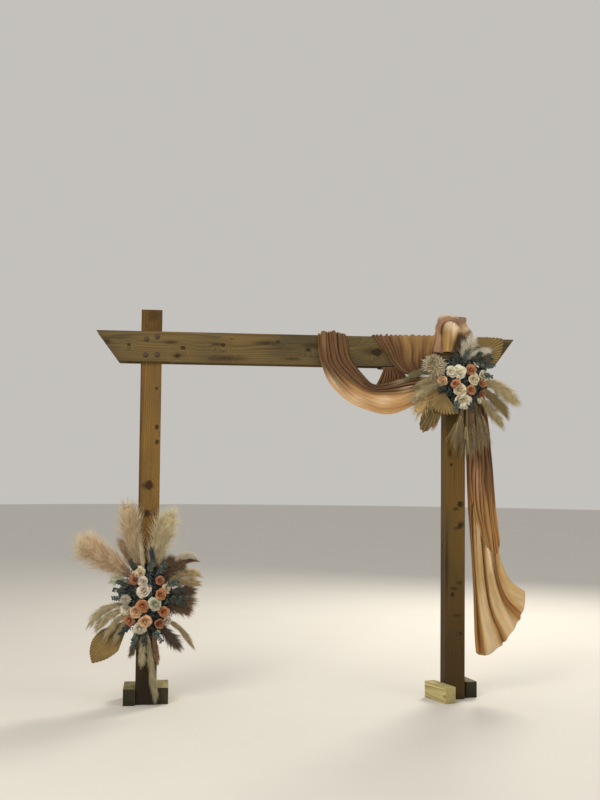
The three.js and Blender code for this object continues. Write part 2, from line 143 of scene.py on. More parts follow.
class ArborFlowers(bpy.types.PropertyGroup):
    cream: colour("Cream", "Cream roses", "f3e6c4")
    white: colour("White", "White blooms", "f6efd8")
    blush: colour("Blush", "Pale pink roses", "f2e4d6")
    peach: colour("Peach", "Peach roses", "f0c698")
    orange: colour("Orange", "Orange roses", "d2864c")
    rust: colour("Rust", "Rust roses", "b0602e")
    ivory: colour("Ivory green", "Green-white roses", "d8dac0")
    leaf: colour("Leaf", "Dusty teal leaves", "58685f")
    leaf_dark: colour("Leaf, dark", "Dark leaves", "13160f")
    leaf_length: size("Leaf length", "Length of a round leaf", 0.031, 0.01, 0.2)
    leaves: count("Leaves", "Leaves over each mound", 2500)


class ArborPlumes(bpy.types.PropertyGroup):
    hair: size("Hair width", "Width of a plume's hair near its root", 0.0015, 0.0003, 0.01)
    hairs: count("Hairs", "Hairs of a plume as long as 1 metre", 1900, 10, 20000)
    palm: colour("Palm", "Dried palm leaf", "9a804a")


class ArborStage(bpy.types.PropertyGroup):
    floor: colour("Floor", "Colour of the floor", "d9d6cf")
    key: FloatProperty(
        name="Key light", description="Strength of the main lamp", default=235, min=0, unit="POWER")


# Shapes


def unit(a):
    """Vectors of length one."""
    return a / np.maximum(np.linalg.norm(a, axis=-1, keepdims=True), 1e-9)


def onward(t, start, end):
    """Rises from 0 to 1 between two values, with level ends: 3 t squared less 2 t cubed."""
    t = np.clip((t - start) / (end - start), 0, 1)
    return t * t * (3 - 2 * t)


def mix(a, b, share):
    """Goes from a to b while the share goes from 0 to 1."""
    a, b = np.asarray(a, float), np.asarray(b, float)
    return a + (b - a) * share


class Shape:
    """Points and faces, and for each point its colour and its place in the pattern."""

    def __init__(self, points, faces, tint=(1, 1, 1), uv=(0, 0)):
        lead = points.shape[:-1]
        self.points, self.faces = points.reshape(-1, 3), faces
        self.uv = np.broadcast_to(uv, (*lead, 2)).reshape(-1, 2)
        tint = np.asarray(tint, float)
        if tint.shape[-1] == 3:
            tint = np.concatenate([tint, np.ones((*tint.shape[:-1], 1))], -1)
        self.tint = np.broadcast_to(tint, (*lead, 4)).reshape(-1, 4)


def join(shapes):
    """One shape of several."""
    starts = np.cumsum([0] + [len(s.points) for s in shapes])
    by_sides = {}
    for shape, start in zip(shapes, starts):
        for faces in shape.faces:
            by_sides.setdefault(faces.shape[1], []).append(faces + start)
    whole = Shape(np.zeros((0, 3)), [np.concatenate(f) for f in by_sides.values()])
    whole.points, whole.uv, whole.tint = (
        np.concatenate([getattr(s, k) for s in shapes]) for k in ("points", "uv", "tint"))
    return whole


def quads(index, around=False):
    """Faces that join a grid of point numbers; around also joins its last column to its first."""
    if around:
        index = np.concatenate([index, index[:, :1]], 1)
    corners = index[:-1, :-1], index[:-1, 1:], index[1:, 1:], index[1:, :-1]
    return np.stack(corners, -1).reshape(-1, 4)


def tube_faces(rows, sides):
    """Faces round a tube of rings of points, and its two ends."""
    index = np.arange(rows * sides).reshape(rows, sides)
    return [quads(index, True), np.stack([index[0, ::-1], index[-1]])]


def repeated(faces, copies, points_each):
    """The faces of one shape, again for each of its copies."""
    starts = np.arange(copies)[:, None, None] * points_each
    return (faces[None] + starts).reshape(-1, faces.shape[1])


def ring(sides, turn=0.0):
    """Points of a regular polygon of radius 1, anticlockwise."""
    angle = TAU * (np.arange(sides) / sides + turn)
    return np.stack([np.cos(angle), np.sin(angle)], -1)


def squared(across, along):
    """A direction made square to another."""
    return unit(across - along * np.sum(across * along, -1, keepdims=True))


def spokes(outline, across, outward):
    """An outline's points in the plane of two directions."""
    return outline[:, :1] * across[..., None, :] + outline[:, 1:] * outward[..., None, :]


def bars(paths, radius, outline, tint, across=None, flat=1.0):
    """A closed bar along each of many paths: the outline, scaled by the radius at each step, is
    carried along the path, square to it. The path's direction is the slope between its points."""
    n, steps, k = len(paths), paths.shape[1], len(outline)
    along = unit(np.gradient(paths, axis=1))
    if across is None:
        across = np.cross(FRONT + 0.02 * UP + 0.01 * ACROSS, along)
    across = squared(across, along)
    points = paths[:, :, None] + np.broadcast_to(radius, (n, steps))[..., None, None] * spokes(
        outline, across, np.cross(along, across) * flat)
    uv = np.stack(np.meshgrid(np.arange(k) / k, np.linspace(0, 1, steps)), -1)
    return Shape(points, [repeated(f, n, steps * k) for f in tube_faces(steps, k)], tint, uv)


def stem(path, radius, sides, tint, **more):
    """One round bar along a path."""
    return bars(path[None], np.asarray(radius)[None], ring(sides), tint, **more)


def needles(paths, radius, tint, across):
    """Closed three-sided hairs through a root and a middle point to a tip. The radius is given at
    the root and the middle."""
    n = len(paths)
    along = unit(paths[:, 2] - paths[:, 0])
    across = squared(across, along)
    rings = paths[:, :2, None] + radius[:, :, None, None] * spokes(
        ring(3), across, np.cross(along, across))[:, None]
    points = np.concatenate([rings.reshape(n, 6, 3), paths[:, 2:]], 1)
    step = np.array([0, 0, 0, 1, 1, 1, 2])
    uv = np.stack([np.array([0, 1, 2, 0, 1, 2, 1]) / 3, step / 2], -1)
    sides = np.array([(0, 1, 4, 3), (1, 2, 5, 4), (2, 0, 3, 5)])
    ends = np.array([(2, 1, 0), (3, 4, 6), (4, 5, 6), (5, 3, 6)])
    return Shape(points, [repeated(sides, n, 7), repeated(ends, n, 7)], tint[:, step], uv)


def lenses(fronts, thickness, tint):
    """Thin closed leaves. Each grid of points is a front layer; its inner points have a second
    layer behind them, moved back along the normal, which shares the rim."""
    n, rows, columns = fronts.shape[:3]
    normal = unit(np.cross(np.gradient(fronts, axis=2), np.gradient(fronts, axis=1)))
    inner = (slice(None), slice(1, -1), slice(1, -1))
    uv = np.stack(np.meshgrid(np.linspace(0, 1, columns), np.linspace(0, 1, rows)), -1)
    uv, tint = (np.broadcast_to(a, (n, rows, columns, a.shape[-1])) for a in (uv, tint))
    front = np.arange(rows * columns).reshape(rows, columns)
    behind = front.copy()
    within = (rows - 2) * (columns - 2)
    behind[1:-1, 1:-1] = rows * columns + np.arange(within).reshape(rows - 2, -1)
    faces = np.concatenate([quads(front), quads(behind)[:, ::-1]])

    def both(layer, back):
        return np.concatenate([a.reshape(n, -1, a.shape[-1]) for a in (layer, back)], 1)

    points = both(fronts, (fronts - normal * thickness)[inner])
    return Shape(points, [repeated(faces, n, rows * columns + within)],
                 both(tint, tint[inner]), both(uv, uv[inner]))


def turned(profile, sides, axis, side, place, tint=(1, 1, 1), turn=0.0):
    """A profile of (radius, height) pairs turned about an axis that starts at a place."""
    profile, axis, side = (np.asarray(a, float) for a in (profile, axis, side))
    path = np.asarray(place) + profile[:, 1:] * axis
    points = path[:, None] + profile[:, :1, None] * spokes(
        ring(sides, turn), side, np.cross(axis, side))
    return Shape(points, tube_faces(len(profile), sides), tint)


def grid(rows, columns):
    """Shares along a leaf, and places from -1 to 1 across it, for arrays of leaves."""
    return np.linspace(0, 1, rows)[None, :, None], np.linspace(-1, 1, columns)[None, None]


def reaching(*ways):
    """Grids of points: directions, one for each grid, each times its distances over the grid."""
    return sum(way[:, None, None] * far[..., None] for way, far in ways)


def directions(around, height):
    """Directions from their turns about Z and their heights."""
    level = np.sqrt(1 - height**2)
    return np.stack([level * np.cos(around), level * np.sin(around), height], -1)


def about(along, turn, flat=1.0):
    """Directions square to others, by their turns about them, flattened towards the front."""
    across = unit(np.cross(FRONT, along))
    return (across * np.cos(turn)[..., None]
            + np.cross(along, across) * (np.sin(turn) * flat)[..., None])


def curve_through(points, spacing):
    """Smooth rows through given ones, about a spacing apart: cubic pieces whose slopes at each
    given row are the slope between its two neighbours, measured by the distance run."""
    run = distance_run(points.mean(1))

    def gap(a, b):
        return (run[b] - run[a])[..., None, None]

    last = len(points) - 1
    k = np.arange(last + 1)
    before, after = np.maximum(k - 1, 0), np.minimum(k + 1, last)
    slope = (points[after] - points[before]) / gap(before, after)
    t = np.linspace(0, run[-1], int(run[-1] / spacing) + 2)
    i = np.clip(np.searchsorted(run, t, "right") - 1, 0, last - 1)
    h = gap(i, i + 1)
    s = (t - run[i])[:, None, None] / h
    return ((2 * s**3 - 3 * s**2 + 1) * points[i] + (s**3 - 2 * s**2 + s) * h * slope[i]
            + (3 * s**2 - 2 * s**3) * points[i + 1] + (s**3 - s**2) * h * slope[i + 1])


def distance_run(path):
    """The distance along a path at each of its points."""
    return np.concatenate([[0], np.cumsum(np.linalg.norm(np.diff(path, axis=0), axis=1))])


# Putting shapes into the scene


def put_object(name, data):
    """A new object in the scene."""
    made = bpy.data.objects.new(name, data)
    bpy.context.scene.collection.objects.link(made)
    return made


def put_shape(name, shape, material, shade_smooth):
    """A new object with a shape's points, faces, colours and places in the pattern."""
    corners = np.concatenate([f.ravel() for f in shape.faces]).astype(np.int32)
    sides = np.concatenate([np.full(len(f), f.shape[1]) for f in shape.faces])
    starts = np.concatenate([[0], np.cumsum(sides)[:-1]]).astype(np.int32)
    mesh = bpy.data.meshes.new(name)
    mesh.vertices.add(len(shape.points))
    mesh.vertices.foreach_set("co", shape.points.astype(np.float32).ravel())
    mesh.loops.add(len(corners))
    mesh.loops.foreach_set("vertex_index", corners)
    mesh.polygons.add(len(sides))
    mesh.polygons.foreach_set("loop_start", starts)
    mesh.polygons.foreach_set("use_smooth", np.full(len(sides), shade_smooth))
    mesh.update(calc_edges=True)
    uv = mesh.uv_layers.new(name="pattern")
    uv.data.foreach_set("uv", shape.uv[corners].astype(np.float32).ravel())
    tint = mesh.color_attributes.new("tint", "FLOAT_COLOR", "POINT")
    tint.data.foreach_set("color", shape.tint.astype(np.float32).ravel())
    mesh.materials.append(material)
    return put_object(name, mesh)


def put_piece(name, shape, material, node=None, shade_smooth=True):
    """A new piece that rides on the arbor, wears one material and may stand for a CAD node."""
    piece = put_shape(name, shape, material, shade_smooth)
    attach(piece, "root")
    if node:
        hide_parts(node)
    return piece


# Materials

# Linear colours that no setting holds: a knot's heart, a dark foot that is partly dampness and
# partly painted shade, and steel with its rust
KNOT_TONE, DAMP_AND_SHADE_TONE = (0.012, 0.008, 0.004), (0.014, 0.010, 0.006)
STEEL_TONE, RUST_TONE = (0.10, 0.075, 0.055), (0.09, 0.035, 0.015)


class Nodes:
    """Wires one node tree. Most methods add a node and give back one of its outputs."""

    def __init__(self, tree):
        self.tree = tree

    def feed(self, inputs, feeds):
        """Gives inputs, by their names or numbers, a value or another node's output."""
        for name, value in feeds.items():
            socket = inputs[name]
            if isinstance(value, bpy.types.NodeSocket):
                self.tree.links.new(value, socket)
            else:
                socket.default_value = (*value, 1) if socket.type == "RGBA" else value

    def node(self, kind, feeds=(), **settings):
        """Adds a node and gives back all its outputs."""
        made = self.tree.nodes.new("ShaderNode" + kind)
        for name, value in settings.items():
            setattr(made, name, value)
        self.feed(made.inputs, dict(feeds))
        return made.outputs

    def add(self, kind, feeds=(), out=0, **settings):
        return self.node(kind, feeds, **settings)[out]

    def group(self, tree, feeds):
        return self.node("Group", feeds, node_tree=tree)

    def parts(self, vector):
        return self.node("SeparateXYZ", {0: vector})

    def math(self, operation, a, b=0.0):
        return self.add("Math", {0: a, 1: b}, operation=operation)

    def plus(self, total, *more):
        for value in more:
            total = self.math("ADD", total, value)
        return total

    def minus(self, a, b):
        return self.math("SUBTRACT", a, b)

    def times(self, a, b):
        return self.math("MULTIPLY", a, b)

    def mix(self, factor, a, b, blend="MIX"):
        return self.add("Mix", {0: factor, 6: a, 7: b}, 2, data_type="RGBA", blend_type=blend)

    def shaded(self, tone, grey):
        """A colour times a grey."""
        shade = self.add("CombineColor", {0: grey, 1: grey, 2: grey})
        return self.mix(1.0, tone, shade, "MULTIPLY")

    def vector(self, operation, a, b=(0, 0, 0), out=0):
        return self.add("VectorMath", {0: a, 1: b}, out, operation=operation)

    def scaled(self, vector, factors):
        return self.vector("MULTIPLY", vector, factors)

    def distance(self, vector):
        return self.vector("LENGTH", vector, out=1)

    def noise(self, vector, scale, detail):
        return self.add("TexNoise", {"Vector": vector, "Scale": scale, "Detail": detail})

    def between(self, value, low, high, to_low=0.0, to_high=1.0):
        """Eases from to_low to to_high while the value goes from low to high."""
        return self.add("MapRange", {"Value": value, "From Min": low, "From Max": high,
                                     "To Min": to_low, "To Max": to_high},
                        interpolation_type="SMOOTHSTEP")

    def bump(self, height, distance):
        return self.add("Bump", {"Height": height, "Distance": distance})

    def object_place(self):
        return self.add("TexCoord", out=3)

    def pattern_place(self):
        return self.add("UVMap", uv_map="pattern")

    def own_tint(self, out="Color"):
        return self.add("Attribute", attribute_name="tint", out=out)


def new_group(name, inputs, outputs):
    """An empty effect, with its named inputs and outputs. An input's default is a number or a
    colour, or None for a vector."""
    tree = bpy.data.node_groups.new(name, "ShaderNodeTree")
    for label, default in inputs.items():
        kind = {type(None): "Vector", float: "Float", tuple: "Color"}[type(default)]
        socket = tree.interface.new_socket(label, in_out="INPUT", socket_type="NodeSocket" + kind)
        if default is not None:
            socket.default_value = default
    for label, kind in outputs.items():
        tree.interface.new_socket(label, in_out="OUTPUT", socket_type="NodeSocket" + kind)
    given = tree.nodes.new("NodeGroupInput").outputs
    return Nodes(tree), given, tree.nodes.new("NodeGroupOutput").inputs


@functools.cache
def timber_grain():
    """Growth rings round a heart line that runs along Z, with fibres, stain and drying cracks."""
    n, given, wanted = new_group("Timber grain", {
        "Place": None, "Heart": None, "Ring spacing": 0.006, "Light": (0.4, 0.25, 0.1, 1),
        "Dark": (0.1, 0.06, 0.02, 1), "Stain": (0.1, 0.1, 0.06, 1), "Stained": 0.5, "Knot": 0.0,
        "Push": 0.0,
    }, {"Colour": "Color", "Roughness": "Float", "Height": "Float"})

    def drawn_out(share, scale, detail):
        """Noise that changes more slowly along the grain, by a share."""
        return n.noise(n.scaled(given["Place"], (1, 1, share)), scale, detail)

    bow, waver = n.minus(drawn_out(0.16, 2.4, 3), 0.5), n.minus(drawn_out(0.06, 22, 2), 0.5)
    from_heart = n.vector("SUBTRACT", given["Place"], given["Heart"])
    radius = n.plus(n.distance(n.scaled(from_heart, (1, 1, 0))), n.times(bow, 0.07),
                    n.times(waver, 0.006), given["Push"])
    late = n.math("POWER", n.math("FRACT", n.math("DIVIDE", radius, given["Ring spacing"])), 2.2)
    fibres, streaks, patches = (
        drawn_out(*values) for values in ((0.015, 520, 2), (0.03, 70, 3), (0.4, 4.5, 5)))
    cracks = n.between(drawn_out(0.02, 85, 1), 0.70, 0.76)
    tone = n.mix(n.times(late, 0.62), given["Light"], given["Dark"])
    tone = n.mix(n.times(n.between(patches, 0.42, 0.68), given["Stained"]), tone, given["Stain"])
    tone = n.shaded(tone, n.plus(0.62, n.times(streaks, 0.42), n.times(fibres, 0.36)))
    tone = n.mix(n.times(cracks, 0.6), tone, given["Dark"])
    deep = n.mix(0.55, given["Dark"], KNOT_TONE)
    relief = n.minus(n.plus(n.times(late, 0.35), n.times(fibres, 0.5)), cracks)
    n.feed(wanted, {
        "Colour": n.mix(given["Knot"], tone, deep),
        "Roughness": n.between(fibres, 0.3, 0.7, 0.66, 0.86),
        "Height": n.minus(relief, n.times(given["Knot"], 0.5)),
    })
    return n.tree


@functools.cache
def timber_knot():
    """One knot: dark where the distance from its line is under its radius, with rings in it and a
    push that bends the growth rings round it."""
    n, given, wanted = new_group("Timber knot", {
        "Place": None, "Centre": None, "Line": None, "Radius": 0.012, "Inner": 0.8, "Outer": 1.25,
    }, {"Knot": "Float", "Push": "Float"})
    away = n.scaled(n.vector("SUBTRACT", given["Place"], given["Centre"]), given["Line"])
    wobble = n.minus(n.noise(given["Place"], 60, 2), 0.5)
    far = n.plus(n.math("DIVIDE", n.distance(away), given["Radius"]), n.times(wobble, 0.7))
    rings = n.plus(0.9, n.times(n.math("SINE", n.times(far, 11)), 0.1))
    n.feed(wanted, {
        "Knot": n.times(n.between(far, given["Inner"], given["Outer"], 1, 0), rings),
        "Push": n.times(n.between(far, 0.4, 5.0, 1, 0), n.times(given["Radius"], 1.6)),
    })
    return n.tree


@functools.cache
def cloth_weave():
    """Fine crossing threads and long crinkles, on a pattern place in metres."""
    n, given, wanted = new_group("Cloth weave", {"Place": None, "Thread": 0.0012},
                                 {"Crinkle": "Float", "Height": "Float"})
    turns = n.add("VectorMath", {0: given["Place"], 3: n.math("DIVIDE", TAU, given["Thread"])},
                  operation="SCALE")
    across, along, _ = n.parts(turns)
    threads = n.times(n.math("SINE", across), n.math("SINE", along))
    crinkle = n.noise(n.scaled(given["Place"], (1, 0.12, 1)), 75, 3)
    n.feed(wanted, {"Crinkle": crinkle, "Height": n.plus(crinkle, n.times(threads, 0.12))})
    return n.tree


@functools.cache
def plant_fibre():
    """Fine streaks along a leaf, petal or hair, on its own pattern place, and slow patches."""
    n, given, wanted = new_group("Plant fibre", {"Place": None, "Lines": 30.0},
                                 {"Streak": "Float", "Patch": "Float"})
    across, along, _ = n.parts(given["Place"])
    lined = n.add("CombineXYZ", {0: n.times(across, given["Lines"]), 1: n.times(along, 2.0)})
    n.feed(wanted, {"Streak": n.noise(lined, 1.0, 2), "Patch": n.noise(n.object_place(), 22, 2)})
    return n.tree


def new_material(name):
    """A material, its wires, its Principled shader and its output."""
    material = bpy.data.materials.new(name)
    material.use_nodes = True
    nodes = material.node_tree.nodes
    return material, Nodes(material.node_tree), nodes["Principled BSDF"], nodes["Material Output"]


def light_through(n, shader, output, share):
    """Mixes light that comes through from behind into a thin material, in its own colour."""
    tone, normal = (shader.inputs[name].links[0].from_socket for name in ("Base Color", "Normal"))
    behind = n.add("BsdfTranslucent", {"Color": tone, "Normal": normal})
    n.feed(output.inputs, {
        "Surface": n.add("MixShader", {0: share, 1: shader.outputs[0], 2: behind})})


def timber_material(name, light, dark, stain, spacing, heart, knots=(), smears=(), stained=0.5,
                    turns=(), foot=None, end_axis=2, ends=0.35):
    """Wood whose grain runs along Z once the turns have been made. Knots and dark smears are
    (centre, line, radius), where the line's zero marks the way that they run through the wood.
    A dark foot, partly dampness and partly painted shade, is (full up to, gone from, darkness), and
    ends is how dark the end faces are: end grain, and painted shade as well where it is high."""
    material, n, shader, _ = new_material(name)
    place = grain = n.object_place()

    def marks(rows, **reach):
        return [n.group(timber_knot(), {"Place": place, "Centre": centre, "Line": line,
                                        "Radius": radius, **reach})
                for centre, line, radius in rows]

    knotted = push = smeared = 0.0
    for knot in marks(knots):
        knotted = n.math("MAXIMUM", knot["Knot"], knotted)
        push = n.plus(knot["Push"], push)
    for smear in marks(smears, Inner=0.1, Outer=1.6):
        smeared = n.math("MAXIMUM", smear["Knot"], smeared)
    for turn in turns:
        grain = n.add("Mapping", {"Vector": grain, "Rotation": np.radians(turn)})
    wood = n.group(timber_grain(), {
        "Place": grain, "Heart": heart, "Ring spacing": spacing, "Light": light, "Dark": dark,
        "Stain": stain, "Stained": stained, "Knot": knotted, "Push": push})
    tone = n.mix(n.times(smeared, 0.78), wood["Colour"], dark * 0.45)
    normal = n.parts(n.add("NewGeometry", out=1))[end_axis]
    # End faces go darker: end grain, and with a high ends value painted shade as well.
    end_grain = n.between(n.math("ABSOLUTE", normal), 0.6, 0.8)
    tone = n.mix(n.times(end_grain, ends), tone, stain * 0.42)
    if foot:
        # The foot goes darker: partly dampness and partly painted shade, which on the right post
        # reaches far up.
        noisy_height = n.plus(n.parts(place)[2], n.times(n.noise(place, 9, 3), 0.1))
        tone = n.mix(n.between(noisy_height, *foot, 0), tone, DAMP_AND_SHADE_TONE)
    n.feed(shader.inputs, {"Base Color": tone, "Roughness": wood["Roughness"],
                           "Specular IOR Level": 0.2, "Normal": n.bump(wood["Height"], 0.0012)})
    return material


def cloth_material():
    """Thin chiffon: its own tint, with painted shade and painted highlights along the crinkles, and
    light comes through it.
    """
    material, n, shader, output = new_material("chiffon")
    pattern = n.group(cloth_weave(), {"Place": n.pattern_place()})
    n.feed(shader.inputs, {
        "Base Color": n.shaded(n.own_tint(), n.between(pattern["Crinkle"], 0.3, 0.7, 0.86, 1.1)),
        "Roughness": 0.82, "Specular IOR Level": 0.2, "Sheen Weight": 0.35,
        "Sheen Roughness": 0.45, "Alpha": n.own_tint("Alpha"),
        "Normal": n.bump(pattern["Height"], 0.0009)})
    light_through(n, shader, output, 0.32)
    return material


def plant_material(name, lines, roughness, relief, depth=0.25, through=0.0, sheen=0.2):
    """Silk or dried plant: its own tint with fine streaks, patches and relief along it."""
    material, n, shader, output = new_material(name)
    fibre = n.group(plant_fibre(), {"Place": n.pattern_place(), "Lines": lines})
    streaked = n.plus(n.times(fibre["Streak"], 0.6), n.times(fibre["Patch"], 0.4))
    grey = n.between(streaked, 0.32, 0.68, 1 - depth, 1 + depth * 0.6)
    rough = n.between(fibre["Streak"], 0.3, 0.7, roughness - 0.06, roughness + 0.06)
    n.feed(shader.inputs, {
        "Base Color": n.shaded(n.own_tint(), grey), "Roughness": rough, "Sheen Weight": sheen,
        "Specular IOR Level": 0.25, "Normal": n.bump(fibre["Streak"], relief)})
    if through:
        light_through(n, shader, output, through)
    return material


def steel_material():
    """Dark zinc-plated steel with rust in patches."""
    material, n, shader, _ = new_material("bolt_steel")
    spots = n.noise(n.object_place(), 260, 4)
    rusty = n.mix(n.between(spots, 0.5, 0.62), STEEL_TONE, RUST_TONE)
    n.feed(shader.inputs, {"Base Color": rusty, "Metallic": 0.8, "Normal": n.bump(spots, 0.0004),
                           "Roughness": n.between(spots, 0.4, 0.65, 0.42, 0.85)})
    return material


FINISHES = {
    "cloth": (cloth_material,),
    "petal": (plant_material, "silk_petal", 26, 0.62, 0.0005, 0.12, 0.15),
    "leaf": (plant_material, "silk_leaf", 18, 0.5, 0.0006, 0.3),
    "plume": (plant_material, "plume_hair", 6, 0.85, 0.0003, 0.18, 0.22, 0.5),
    "palm": (plant_material, "dried_palm", 60, 0.6, 0.0008, 0.3, 0.1),
    "steel": (steel_material,),
}


@functools.cache
def finish_of(name):
    """A finish that several pieces wear, built once."""
    maker, *values = FINISHES[name]
    return maker(*values)


# Timber

# Knots in the front are (x, z, radius) and knots in the side (y, z, radius). Smears are
# (x, z, how fast they fade along x and along z, radius).
FRONT_KNOTS = {
    "left_post": [
        (-1.014, 1.857, 0.013), (-1.012, 1.756, 0.013), (-1.061, 1.465, 0.024),
        (-1.074, 1.277, 0.018), (-1.02, 2.12, 0.009), (-1.09, 1.02, 0.012)],
    "right_post": [
        (1.093, 1.345, 0.016), (1.093, 1.195, 0.016), (1.03, 1.62, 0.010), (1.04, 0.72, 0.013),
        (1.10, 0.45, 0.009)],
    "beam": [
        (-0.847, 2.396, 0.013), (-0.884, 2.340, 0.011), (-0.577, 2.420, 0.012),
        (-0.200, 2.449, 0.010), (0.008, 2.400, 0.013), (0.490, 2.392, 0.026),
        (-1.21, 2.41, 0.010), (1.28, 2.38, 0.013)],
}
SIDE_KNOTS = {
    "left_post": [(-0.01, 1.60, 0.017), (0.03, 0.83, 0.014)],
    "right_post": [(0.02, 1.05, 0.015), (-0.03, 1.9, 0.012)],
    "beam": [],
}
SMEARS = {
    "left_post": [
        # The first is a long dark strip down the post's left edge.
        (-1.137, 1.75, 1, 0.03, 0.026), (-1.080, 1.462, 0.5, 1, 0.026),
        (-1.070, 1.270, 0.42, 1, 0.026), (-1.09, 1.02, 0.5, 1, 0.03),
        (-1.05, 2.62, 0.5, 0.4, 0.06)],
    "right_post": [
        (1.065, 1.312, 0.5, 1, 0.013), (1.098, 1.345, 0.8, 1, 0.020), (1.070, 1.178, 0.5, 1, 0.012),
        (1.105, 1.205, 0.8, 1, 0.022), (1.05, 0.76, 0.4, 1, 0.012), (1.09, 0.80, 0.7, 1, 0.014),
        (1.07, 0.575, 0.4, 1, 0.011), (1.000, 0.95, 1, 0.05, 0.012), (1.02, 1.70, 0.8, 0.4, 0.012)],
    "beam": [
        (-0.561, 2.330, 0.16, 1, 0.022), (-0.275, 2.440, 0.2, 1, 0.018),
        (-0.93, 2.432, 0.25, 1, 0.014), (-0.882, 2.342, 0.5, 1, 0.018), (0.04, 2.43, 0.3, 1, 0.022),
        (-0.62, 2.426, 0.3, 1, 0.012), (0.47, 2.40, 0.35, 1, 0.030), (-1.36, 2.43, 0.5, 1, 0.016),
        (-0.1, 2.335, 0.2, 1, 0.012)],
}
# The line that a post's growth rings lie round, and its dark foot, partly dampness and partly
# painted shade: full up to, gone from, darkness
POST_HEARTS = {"left_post": (-1.17, 0.09, 0), "right_post": (1.18, 0.06, 0)}
FOOT_DAMP_AND_SHADE = {"left_post": (0.16, 0.84, 0.95), "right_post": (0.2, 1.45, 0.66)}
# Each beam board's node, its side of the posts, the line that its growth rings lie round, and
# which of the beam's knots it shows: every one or every third
BEAM_BOARDS = [
    ("front_beam_board", -1, (-2.46, 0.05, 0), 1),
    ("back_beam_board", 1, (-2.30, 0.05, 0), 3),
]
# How far a beam board's ends lean in towards its lower edge
BEAM_SLANT = 0.152
# Each off-cut's node, the post's edge that its long side lies against, on which side of that edge
# and how far along it the off-cut's middle is, its turn in degrees, how pale it is, and how dark
# its ends are: end grain, and where high painted shade on the ends as well.
FOOT_BLOCKS = [
    ("left_foot_block_outer", (-POST_X - HALF_POST, 0), -1, 0.033, 0, 0.0, 0.93),
    ("left_foot_block_inner", (-POST_X + HALF_POST, 0), 1, 0.069, 0, 0.65, 0.93),
    ("right_foot_block_inner", (POST_X - HALF_POST, 0.005 - HALF_POST), -1, 0.001, 20, 1.0, 0.25),
    ("right_foot_block_outer", (POST_X + HALF_POST, HALF_POST - 0.005), 1, 0.026, 12, 0.0, 0.9),
]
BLOCK_HALVES = (0.131, 0.04, 0.055)
SEAT_GAP = 0.0003
# Bolt places on the left post, and the (radius, height) steps of a washer and a head whose width
# across the flats is 1
BOLT_PLACES = [(-1.098, 2.342), (-1.019, 2.345), (-1.093, 2.448), (-1.022, 2.468)]
WASHER = np.array([(0.85, 0), (0.85, 0.075), (0.8, 0.1), (0.3, 0.1)])
BOLT_HEAD = np.array([(1, 0.1), (1, 0.34), (0.93, 0.42), (0.7, 0.45)]) / (np.sqrt(3), 1)


def knots_of(timber, front_line=(1, 0, 0.8)):
    """The centre, line and radius of each knot."""
    front = [((x, 0, z), front_line, radius) for x, z, radius in FRONT_KNOTS[timber]]
    return front + [((0, y, z), (0, 1, 0.8), radius) for y, z, radius in SIDE_KNOTS[timber]]


def smears_of(timber):
    """The centre, line and radius of each smear."""
    return [((x, 0, z), (fade_x, 0, fade_z), radius)
            for x, z, fade_x, fade_z, radius in SMEARS[timber]]


def rounded_outline(half_a, half_b, radius):
    """A rectangle with rounded corners, anticlockwise, five points to a corner."""
    angle = np.radians(np.linspace(0, 90, 5))
    corner = np.stack([np.cos(angle), np.sin(angle)], -1) * radius
    first = corner + (half_a - radius, half_b - radius)
    second = first[::-1] * (-1, 1)
    return np.concatenate([first, second, -first, -second])


def plank(middle, along, across, halves, edge, slant=0.0):
    """A sawn length of wood with eased edges: a rounded outline carried along its length, drawn
    in by the edge's radius at both ends, where the cut may slant with the height. The halves are
    of its length, and of its sizes across and square to both."""
    half_length, half_a, half_b = halves
    worn = 0.8 * edge
    t = np.concatenate([[-1, -1], np.linspace(-1, 1, 33)[1:-1], [1, 1]])[:, None]
    outline = np.tile(rounded_outline(half_a, half_b, edge), (len(t), 1, 1))
    outline[[0, -1]] *= 1 - worn / np.array([half_a, half_b])
    run = t * (half_length - slant * (1 - outline[..., 1] / half_b) / 2)
    run[1] += worn
    run[-2] -= worn
    points = (middle + run[..., None] * along + outline[..., :1] * across
              + outline[..., 1:] * np.cross(along, across))
    return Shape(points, tube_faces(*run.shape))


